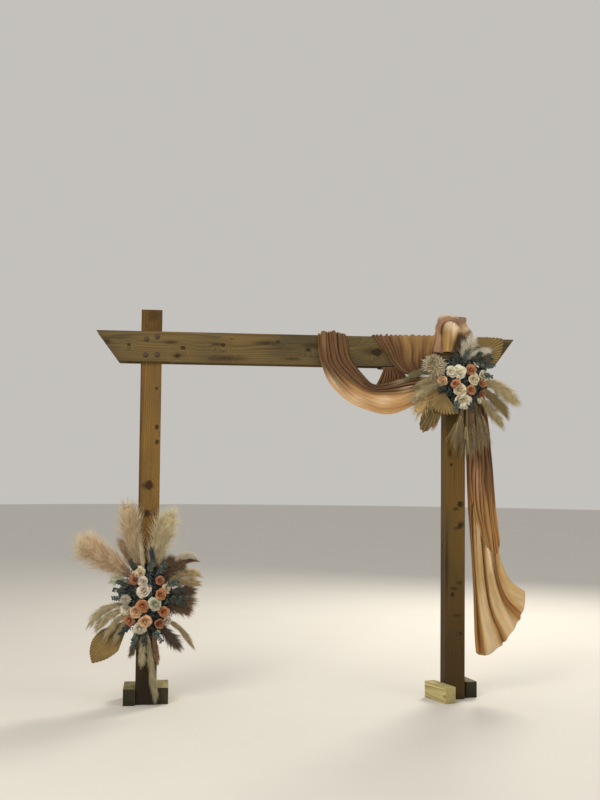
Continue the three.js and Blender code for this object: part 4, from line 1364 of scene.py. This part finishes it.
def leaves(seats, forward, facing, length, width, tint):
    """Leaves from their stalks: along a leaf its half width is a power of a sine, it is folded
    about its middle rib, and it bends down with the square of the distance from the stalk."""
    forward = unit(forward)
    side = unit(np.cross(forward, facing))
    s, t = grid(5, 3)
    length, width = length[:, None, None], width[:, None, None]
    half = width / 2 * np.sin(np.pi * np.clip(s, 0.04, 0.97) ** 0.85) ** 0.75
    lift = length * (LEAF_FOLD * np.abs(t) * np.sin(np.pi * s) - LEAF_DROOP * s**2)
    points = seats[:, None, None] + reaching(
        (forward, s * length), (side, half * t), (np.cross(side, forward), lift))
    shade = 1.1 - 0.25 * np.abs(t)
    return lenses(points, LEAF_THICKNESS, np.clip(tint[:, None, None] * shade[..., None], 0, 1))


class ARBOR_OT_foliage(bpy.types.Operator):
    """Build the leafy mounds that carry the flowers, and the sprigs round them"""

    bl_idname = "arbor.foliage"
    bl_label = "Foliage"

    def execute(self, context):
        s = context.scene.arbor_flowers
        for number, (spray, (centre, half)) in enumerate(SPRAYS.items()):
            rng = np.random.default_rng(FOLIAGE_SEED + number)
            shapes = [self.core(s, centre, half), self.cover(rng, s, spray, centre, half)]
            for k, sprig in enumerate(SPRIGS[spray]):
                shapes += self.sprig(rng, s, 1 if k % 2 else 0.3, centre, *sprig)
            put_piece(spray + "_leaves", join(shapes), finish_of("leaf"),
                      spray + "_foliage")
        return {"FINISHED"}

    def core(self, s, centre, half):
        """A ball stretched to the mound's sizes, cut flat at the post's face, and painted
        near-black as the shade between the leaves.
        """
        polar = np.linspace(0.06, np.pi - 0.06, 17)
        path = centre + np.outer(-np.cos(polar) * half[2] * CORE_SHARE, UP)
        ball = stem(path, np.sin(polar) * half[0] * CORE_SHARE, 28, np.array(s.leaf_dark) * 0.7,
                    across=ACROSS, flat=half[1] / half[0])
        ball.points[:, 1] = np.minimum(ball.points[:, 1], SPRAY_BACK - 0.001)
        return ball

    def clear(self, spray, points):
        """Which points are beside every flower head of a spray, as the front view has them."""
        heads = np.array([head[:3] for node, heads in BLOOMS.items() if node.startswith(spray)
                          for head in heads]) * MM
        away = points[:, None, ::2] - SPRAYS[spray][0][::2] - heads[:, :2]
        return (np.linalg.norm(away, axis=-1) > heads[:, 2] * HEAD_SHARE).all(1)

    def cover(self, rng, s, spray, centre, half):
        """Leaves spread evenly over the mound, each lying back at a random slant."""
        number = s.leaves
        k = np.arange(number) + 0.5
        out = directions(k * GOLDEN_ANGLE, 1 - 2 * k / number)
        seats = centre + out * half * rng.uniform(0.84, 1.0, (number, 1))
        facing = unit(out / half)
        slant = facing * rng.uniform(0.15, 0.9, (number, 1))
        forward = unit(slant + rng.normal(0, 0.6, seats.shape))
        tips = seats + forward * 0.8 * s.leaf_length
        keep = (self.clear(spray, seats) & self.clear(spray, tips)
                & (seats[:, 1] < SPRAY_BACK - 0.004))
        seats, facing, forward = seats[keep], facing[keep], forward[keep]
        number = len(seats)
        rounded = rng.random(number) < 0.5
        length = s.leaf_length * rng.uniform(0.6, 1.0, number) * np.where(rounded, 0.8, 1.1)
        tone = np.where(rounded, rng.uniform(0.25, 1, number), rng.uniform(0, 0.35, number))
        return leaves(seats, forward, facing, length, length * np.where(rounded, 0.75, 0.3),
                      mix(s.leaf_dark, s.leaf, tone[:, None]))

    def sprig(self, rng, s, paleness, centre, root, tip, pairs):
        """A thin stem that bows forward out of the mound, with pairs of leaves along it."""
        a, b = centre + np.array([root, tip]) * MM
        along = unit(b - a)

        def on_stem(t):
            bow = 0.1 * np.linalg.norm(b - a) * np.sin(np.pi * t)
            return mix(a, b, t[:, None]) + bow[:, None] * FRONT

        at = np.repeat(np.linspace(0.25, 1, pairs), 2)
        sign = np.tile([1, -1], pairs)[:, None]
        turn = rng.uniform(-0.8, 0.8, (len(at), 1))
        across = unit(np.cross(FRONT, along))
        forward = along * 0.7 + sign * (across * np.cos(turn) + FRONT * np.sin(turn))
        facing = unit(FRONT + rng.normal(0, 0.35, forward.shape))
        length = s.leaf_length * rng.uniform(0.7, 1.05, len(at)) * (1.1 - 0.35 * at)
        tint = mix(s.leaf_dark, s.leaf, rng.uniform(0.4, 1.1, (len(at), 1)) * paleness)
        return [stem(on_stem(np.linspace(0, 1, 7)), np.linspace(0.0022, 0.0010, 7), 5, SPRIG_TONE),
                leaves(on_stem(at), forward, facing, length, length * 0.78, np.clip(tint, 0, 1))]


# Plumes

# Each plume is (base, bend, tip) in millimetres from its spray's centre, radius, root colour, tip
# colour, and how thickly it is haired.
PLUMES = {
    "lower_pampas_left": [
        ((-100, -30, 150), (-290, -45, 300), (-470, -60, 395), 138, "cc9c6c", "ffecc4", 2.4)],
    "lower_pampas_up_left": [
        ((-50, -25, 170), (-104, -40, 420), (-146, -50, 640), 104, "ac8558", "f8e2b6", 2.1),
        ((-60, -20, 170), (-140, -35, 290), (-186, -45, 400), 40, "7d5f3c", "bd9c70", 1.4),
        ((-25, -45, 170), (-35, -60, 280), (-50, -70, 372), 24, "bba77a", "f0e4b8", 1.6)],
    "lower_pampas_up_right": [
        ((25, -25, 170), (70, -40, 390), (156, -50, 585), 112, "b09a66", "f6e8bc", 2.1)],
    "lower_plume_bronze": [
        ((40, -25, 140), (110, -45, 250), (190, -50, 268), 74, "3a2917", "84633c", 1.9),
        ((70, -25, 120), (180, -45, 230), (262, -50, 244), 66, "45301c", "8f6b42", 1.9),
        ((90, -30, 150), (200, -60, 345), (318, -62, 284), 28, "c0a87e", "fff4e0", 2.2),
        ((120, -30, 170), (230, -50, 280), (330, -55, 262), 16, "54220f", "7d3a20", 2.0)],
    "lower_plume_tan": [
        ((100, -20, 110), (230, -40, 200), (348, -50, 168), 44, "937445", "f0daa4", 2.2),
        ((100, -20, 90), (230, -40, 140), (348, -50, 107), 42, "7d6038", "e8cf9a", 2.2)],
    "lower_plumes_rust": [
        ((90, -20, 20), (210, -40, 70), (320, -50, 58), 58, "3a2713", "7c5730", 2.7),
        ((90, -20, -10), (200, -40, 10), (320, -50, -10), 60, "4a3218", "9c6e40", 2.7),
        ((80, -20, -40), (200, -50, -50), (300, -60, -76), 56, "4c341c", "8e6942", 2.7)],
    "lower_plumes_plum": [
        ((50, -20, -130), (140, -40, -230), (222, -50, -318), 58, "35241a", "6c5038", 2.7),
        ((80, -20, -120), (220, -50, -150), (298, -50, -296), 24, "826a48", "dcc490", 2.2)],
    "lower_plumes_hanging": [
        ((-20, -25, -180), (-26, -40, -320), (-30, -45, -430), 33, "b09a6a", "f0e4ba", 1.9),
        ((0, -35, -180), (35, -45, -430), (62, -45, -648), 29, "ab9664", "eee0b4", 1.5),
        ((-50, -20, -180), (-80, -30, -300), (-104, -35, -372), 30, "4f3c22", "8a6b41", 1.8),
        ((40, -20, -180), (62, -30, -320), (74, -35, -420), 26, "7d5730", "b58850", 1.8)],
    "lower_pampas_cream": [
        ((-110, -25, -35), (-290, -50, -10), (-372, -55, -160), 40, "b09a68", "f8eac0", 1.8),
        ((-110, -30, -60), (-250, -55, -60), (-330, -60, -196), 38, "ab9462", "f4e4b8", 1.8),
        ((-100, -35, -80), (-200, -60, -100), (-266, -65, -238), 36, "a68e5c", "eedcac", 1.8),
        ((-90, -35, -100), (-160, -60, -150), (-206, -65, -264), 30, "a08656", "e6d2a0", 1.8)],
    "lower_tuft_green": [
        ((-100, -25, 70), (-180, -50, 160), (-250, -50, 128), 46, "959e72", "e8ecce", 1.8)],
    "lower_spike": [((34, -45, 160), (36, -70, 260), (21, -75, 345), 17, "10131a", "2c3244", 3.4)],
    "upper_plume_top": [
        ((10, -40, 110), (20, -60, 250), (84, -70, 300), 70, "d6c8a2", "fff8e8", 2.6),
        ((10, -50, 130), (90, -75, 215), (196, -80, 205), 32, "f2e4c0", "fffaec", 3.4)],
    "upper_plume_right_high": [
        ((110, -35, 10), (260, -60, -10), (386, -70, -156), 62, "b89c60", "f8e6b4", 2.6)],
    "upper_plume_right_mid": [
        ((110, -35, -50), (230, -60, -100), (316, -70, -238), 52, "775d2f", "ba9d56", 2.3)],
    "upper_plume_right_low": [
        ((90, -35, -90), (190, -60, -180), (276, -70, -308), 46, "9c8450", "e2d09a", 2.5)],
    "upper_plumes_left": [
        ((-110, -40, 50), (-260, -65, 80), (-395, -65, 10), 30, "5f5a36", "a89c6c", 1.8),
        ((-110, -50, 20), (-230, -75, 30), (-330, -75, -50), 36, "927c4a", "dccb96", 1.9),
        ((-110, -45, -10), (-235, -75, -20), (-350, -80, -142), 50, "a48e5c", "ecdcae", 1.9)],
    "upper_plume_gold": [
        ((-110, -20, -60), (-240, -45, -120), (-330, -60, -236), 86, "cc9844", "ffe6a4", 2.0),
        ((-100, -15, -110), (-170, -30, -240), (-206, -35, -335), 28, "a8683c", "f4cfa8", 1.8)],
}
# A plume's half width, as a share of its radius, at shares of its stem's length.
PLUME_SHAPE = ([-0.1, 0, 0.1, 0.25, 0.45, 0.65, 0.85, 1, 1.12],
               [0.02, 0.05, 0.2, 0.46, 0.74, 0.92, 1, 0.85, 0.45])
PLUME_FLATNESS, PLUME_CORE = 0.62, 0.34
HAIRS_A_TUFT, LEAST_TUFTS = 12, 12
FLOOR_GAP = 0.004


def arc(points):
    """The points and slopes of a bent stem: a parabola from the first point to the third, drawn
    towards the second."""
    a, b, c = points

    def point(t):
        t = t[..., None]
        return a * (1 - t) ** 2 + b * 2 * t * (1 - t) + c * t**2

    def slope(t):
        return unit(mix(b - a, c - b, t[..., None]))

    return point, slope


def plume(rng, s, centre, base, bend, tip, radius, root_tone, tip_tone, thick):
    """Hairs in tufts. Each hair leaves the stem at a share of its length and a turn about it, and
    moves outward with a power of the way along, until the plume's outline at its tip."""
    ends = np.array([base, bend, tip]) * MM
    point, slope = arc(centre + ends)
    radius, root, pale = radius * MM, srgb(root_tone), srgb(tip_tone)
    length = np.linalg.norm(ends[2] - ends[0])
    tufts = max(LEAST_TUFTS, int(s.hairs * length * thick / HAIRS_A_TUFT))
    hairs = tufts * HAIRS_A_TUFT

    def of_tufts(values):
        return np.repeat(values, HAIRS_A_TUFT)

    start = of_tufts(np.linspace(0.02, 0.80, tufts) + rng.normal(0, 0.02, tufts))
    turn = of_tufts(np.arange(tufts) * GOLDEN_ANGLE) + rng.normal(0, 0.32, hairs)
    reach = of_tufts(0.26 + rng.normal(0, 0.05, tufts)) * (1 + rng.normal(0, 0.2, hairs))
    fill = of_tufts(rng.uniform(0.5, 1.2, tufts)) * rng.uniform(0.5, 1.12, hairs)
    start = start + rng.normal(0, 0.015, hairs)
    along = np.array([0.0, 0.5, 1.0])
    t = start[:, None] + np.clip(reach, 0.08, 0.36)[:, None] * along
    outline = radius * (np.interp(t[:, -1:], *PLUME_SHAPE) + 0.1)
    out = outline * fill[:, None] * along**0.85
    turn = turn[:, None] + 0.25 * along * rng.normal(size=(hairs, 1))
    paths = point(t) + about(slope(t), turn, PLUME_FLATNESS) * out[..., None]
    paths[..., 2] = np.maximum(paths[..., 2], FLOOR_GAP)
    wide = s.hair * rng.uniform(0.6, 1.2, (hairs, 1)) * np.array([0.9, 0.8])
    tone = along * 0.7 + 0.35 * np.clip(t, 0, 1) + rng.normal(0, 0.16, (hairs, 1))
    tint = mix(root, pale, np.clip(tone, 0, 1.15)[..., None])
    steps = np.linspace(0, 0.93, 15)
    core = np.interp(steps, *PLUME_SHAPE) * radius * PLUME_CORE
    return [needles(paths, wide, np.clip(tint, 0, 1), rng.normal(size=(hairs, 3))),
            stem(point(steps), np.linspace(0.003, 0.0012, 15), 6, root * 0.8),
            stem(point(steps), np.maximum(core, 0.0015), 10, mix(root, pale, 0.6),
                 flat=PLUME_FLATNESS)]


class ARBOR_OT_plumes(bpy.types.Operator):
    """Build the pampas and grass plumes of both sprays"""

    bl_idname = "arbor.plumes"
    bl_label = "Plumes"

    def execute(self, context):
        s = context.scene.arbor_plumes
        for number, (node, rows) in enumerate(PLUMES.items()):
            rng = np.random.default_rng(PLUME_SEED + number)
            centre, _ = spray_of(node)
            shapes = [part for row in rows for part in plume(rng, s, centre, *row)]
            put_piece(node + "_hairs", join(shapes), finish_of("plume"), node)
        return {"FINISHED"}


# Wheat

# Each bunch is (base, bend, tip) in millimetres from the upper spray's centre. Its ears spread
# about it by so much at their tips.
WHEAT_BUNCHES = [
    ((20, -35, -110), (-10, -60, -280), (-40, -60, -400)),
    ((40, -35, -110), (46, -65, -310), (56, -60, -470)),
    ((70, -35, -110), (118, -60, -240), (146, -60, -400)),
]
EAR_SPREAD = (24, 13, 42)
EARS_A_BUNCH, GRAINS_AN_EAR = 21, 20
# The shares of a stem's length between which its grains sit, and the beards' lengths
EAR_FROM, EAR_TO = 0.60, 0.86
BEARD_LENGTHS = (0.06, 0.10)
WHEAT_DARK, WHEAT_PALE = srgb("46361c"), srgb("c2a86e")


class ARBOR_OT_wheat(bpy.types.Operator):
    """Build the hanging bunch of bearded wheat"""

    bl_idname = "arbor.wheat"
    bl_label = "Wheat"

    def execute(self, context):
        rng = np.random.default_rng(WHEAT_SEED)
        shapes = []
        for bunch in WHEAT_BUNCHES:
            for _ in range(EARS_A_BUNCH):
                spread = np.outer((0, 0.6, 1), rng.normal(0, 1, 3) * EAR_SPREAD)
                shapes += self.ear(rng, *arc(SPRAYS["upper"][0] + (bunch + spread) * MM))
        put_piece("upper_wheat_ears", join(shapes), finish_of("plume"),
                  "upper_wheat")
        return {"FINISHED"}

    def ear(self, rng, point, slope):
        """A stem, two rows of grains along its last part, and a long beard from each grain."""
        number = GRAINS_AN_EAR
        tone = mix(WHEAT_DARK, WHEAT_PALE, rng.random())
        at = np.linspace(EAR_FROM, EAR_TO, number)
        turn = rng.uniform(0, np.pi) + rng.normal(0, 0.3, number)
        side = about(slope(at), turn + np.tile([0.0, np.pi], number // 2))
        seats = point(at) + side * 0.002
        grain_way = unit(slope(at) + side * 0.45)
        grains = bars(seats[:, None] + grain_way[:, None] * [[0], [0.0039], [0.0091], [0.013]],
                      (0.0010, 0.0040, 0.0034, 0.0006), ring(4), tone)
        beard_way = unit(slope(at) + side * rng.uniform(0.15, 0.42, (number, 1))
                         + rng.normal(0, 0.06, (number, 3)))
        s = np.array([[0], [0.7], [1.0]])
        length = rng.uniform(*BEARD_LENGTHS, (number, 1, 1))
        paths = ((seats + grain_way * 0.012)[:, None] + beard_way[:, None] * s * length
                 - UP * 0.012 * s**2)
        beard_tone = np.full((number, 3, 3), (tone + WHEAT_PALE) / 2)
        beards = needles(paths, np.full((number, 2), 0.0007), beard_tone,
                         rng.normal(size=(number, 3)))
        return [stem(point(np.linspace(0, EAR_TO, 9)), 0.0013, 4, tone * 0.9), grains, beards]


# Palm leaves

# Each palm fan is its hub from the spray's centre in millimetres, the first and last direction of
# its pleats in degrees, its reach at even steps between them, its pleats, how deep they are cut in
# millimetres, and its share of the palm colour, which below 1 is painted shade.
PALMS = {
    "lower_palm_fan": [
        ((-110, -25, -130), 198, 250, (200, 285, 340, 378, 300, 215), 20, 5, 1.0)],
    "upper_palm_fan_right": [
        ((40, -45, 140), -6, 70, (185, 228, 262, 298, 236, 198, 176), 18, 6, 0.95)],
    "upper_palm_fan_left": [
        ((-130, -62, -80), 208, 304, (138, 150, 156, 160, 168, 180), 12, 16, 0.95),
        ((-140, -40, -85), 220, 262, (165, 240, 305, 318, 250, 200), 8, 14, 0.6)],
}
PALM_THICKNESS = 0.0011


class ARBOR_OT_palms(bpy.types.Operator):
    """Build the trimmed, pleated palm leaves"""

    bl_idname = "arbor.palms"
    bl_label = "Palm leaves"

    def execute(self, context):
        tone = np.array(context.scene.arbor_plumes.palm)
        for node, fans in PALMS.items():
            centre, _ = spray_of(node)
            shapes = [part for values in fans for part in self.fan(tone, centre, *values)]
            put_piece(node + "_pleated", join(shapes), finish_of("palm"), node,
                      shade_smooth=False)
        return {"FINISHED"}

    def fan(self, tone, centre, hub, first, last, reaches, pleats, cut, share):
        """Pleats that spread from a hub. Every second line across the fan stands forward of its
        neighbours by an amount that grows with the radius, and is longer at the trimmed rim."""
        hub = centre + np.array(hub) * MM
        t = np.arange(2 * pleats + 1) / pleats - 1
        is_ridge = np.arange(len(t)) % 2 == 1
        angle = np.radians(mix(first, last, (t + 1) / 2))
        reach = np.interp(t, np.linspace(-1, 1, len(reaches)), reaches) - np.where(is_ridge, 0, cut)
        s = np.linspace(0.05, 1, 12)[:, None]
        radius = s * reach * MM
        fold = np.where(is_ridge, -0.3, 0.3) * radius * (angle[1] - angle[0])
        bowl = 0.018 * s**2 * t**2 + 0.012 * s**3
        points = hub + np.stack([radius * np.cos(angle), fold - bowl, radius * np.sin(angle)], -1)
        shade = np.where(is_ridge, 1.15, 0.45) * (1 - 0.15 * onward(s, 0.75, 1)) * (0.85 + 0.25 * s)
        # A share below 1 darkens the whole fan as painted shade.
        tint = np.clip(share * tone * shade[..., None], 0, 1)
        aim = np.radians((first + last) / 2)
        stalk = np.linspace(hub + 0.03 * np.array([np.cos(aim), 0, np.sin(aim)]),
                            mix(centre, hub, 0.45) + 0.03 * FRONT, 6)
        return [lenses(points[None], PALM_THICKNESS, tint[None]),
                stem(stalk, 0.0045, 8, tone * 0.7)]


# Stage

CAMERA_PLACE = (-0.9436, -7.4826, 1.6669)
CAMERA_TURNS = np.radians([6.952, 2.982, 0.553])
CAMERA_LENS = 48.82
FLOOR_RADIUS = 30
SKY_TONE, SKY_STRENGTH = (1.0, 0.97, 0.92, 1), 0.55
LAMPS = [
    # name, place, what it points at, width, share of the key light's power, colour
    ("key", (-3.6, -5.2, 5.2), (0.1, 0, 1.4), 3.2, 1.0, (1.0, 0.94, 0.84)),
    ("fill", (5.2, -4.2, 2.6), (0.3, 0, 1.3), 4.0, 0.35, (1.0, 0.97, 0.92)),
    ("back", (3.4, 4.6, 4.6), (0.6, 0, 1.8), 2.6, 1.3, (1.0, 0.93, 0.82)),
]


def placed(side, back, place):
    """The matrix of an object that stands at a place and looks away from a direction."""
    turn = np.eye(4)
    turn[:3] = np.stack([side, np.cross(back, side), back, place], -1)
    return Matrix(turn.tolist())


class ARBOR_OT_stage(bpy.types.Operator):
    """Build the floor, the soft lamps and the camera at the photograph's place"""

    bl_idname = "arbor.stage"
    bl_label = "Stage"

    def execute(self, context):
        s, scene = context.scene.arbor_stage, context.scene
        self.floor(s)
        for lamp in LAMPS:
            self.lamp(s, *lamp)
        world = bpy.data.worlds.new("soft light")
        world.use_nodes = True
        sky = world.node_tree.nodes["Background"]
        sky.inputs["Color"].default_value = SKY_TONE
        sky.inputs["Strength"].default_value = SKY_STRENGTH
        scene.world = world
        scene.view_settings.view_transform = "Standard"
        self.camera(scene)
        return {"FINISHED"}

    def lamp(self, s, name, place, target, width, share, tone):
        """A soft round lamp that points at a target."""
        lamp = bpy.data.lights.new(name, "AREA")
        lamp.shape, lamp.size = "DISK", width
        lamp.energy, lamp.color = s.key * share, tone
        back = unit(np.subtract(place, target))
        put_object(name, lamp).matrix_world = placed(unit(np.cross(UP, back)), back, place)

    def floor(self, s):
        """A wide disc of plain plaster."""
        disc = turned([(FLOOR_RADIUS, -0.02), (FLOOR_RADIUS, -0.0005), (0.01, -0.0005)], 96, UP,
                      ACROSS, (0, 0, 0))
        material, n, shader, _ = new_material("pale_floor")
        pale = np.array(s.floor)
        cloudy = n.mix(n.noise(n.object_place(), 1.5, 4), pale * 0.97, np.minimum(pale * 1.03, 1))
        n.feed(shader.inputs, {"Base Color": cloudy, "Roughness": 0.9})
        put_shape("floor", disc, material, False)

    def camera(self, scene):
        """The camera, turned by its yaw, pitch and roll."""
        yaw, pitch, roll = CAMERA_TURNS
        level = np.array([np.cos(yaw), -np.sin(yaw), 0.0])
        ahead = np.cos(pitch) * np.cross(UP, level) + np.sin(pitch) * UP
        side = np.cos(roll) * level + np.sin(roll) * np.cross(level, ahead)
        data = bpy.data.cameras.new("photo view")
        data.sensor_width, data.lens = 36, CAMERA_LENS
        data.clip_end = 200
        scene.camera = put_object("photo view", data)
        scene.camera.matrix_world = placed(side, -ahead, CAMERA_PLACE)


# Add-on


class ARBOR_PT_build(bpy.types.Panel):
    """Lists the steps that build the arbor"""

    bl_idname = "ARBOR_PT_build"
    bl_label = "Arbor"
    bl_space_type = "VIEW_3D"
    bl_region_type = "UI"
    bl_category = "Arbor"

    def draw(self, context):
        for step in STEPS:
            self.layout.operator(step.bl_idname)


STEPS = (ARBOR_OT_timber, ARBOR_OT_bolts, ARBOR_OT_drapes, ARBOR_OT_blooms, ARBOR_OT_foliage,
         ARBOR_OT_plumes, ARBOR_OT_spiky_flower, ARBOR_OT_wheat, ARBOR_OT_palms, ARBOR_OT_stage)
SETTINGS = {"arbor_timber": ArborTimber, "arbor_drape": ArborDrape, "arbor_flowers": ArborFlowers,
            "arbor_plumes": ArborPlumes, "arbor_stage": ArborStage}


def register():
    for group in SETTINGS.values():
        bpy.utils.register_class(group)
    for name, group in SETTINGS.items():
        setattr(bpy.types.Scene, name, PointerProperty(type=group))
    for made in (*STEPS, ARBOR_PT_build):
        bpy.utils.register_class(made)


def unregister():
    for made in (ARBOR_PT_build, *reversed(STEPS)):
        bpy.utils.unregister_class(made)
    for name, group in SETTINGS.items():
        delattr(bpy.types.Scene, name)
        bpy.utils.unregister_class(group)


def main():
    register()
    for step in STEPS:
        area, name = step.bl_idname.split(".")
        getattr(getattr(bpy.ops, area), name)()
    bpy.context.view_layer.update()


if __name__ == "__main__":
    main()
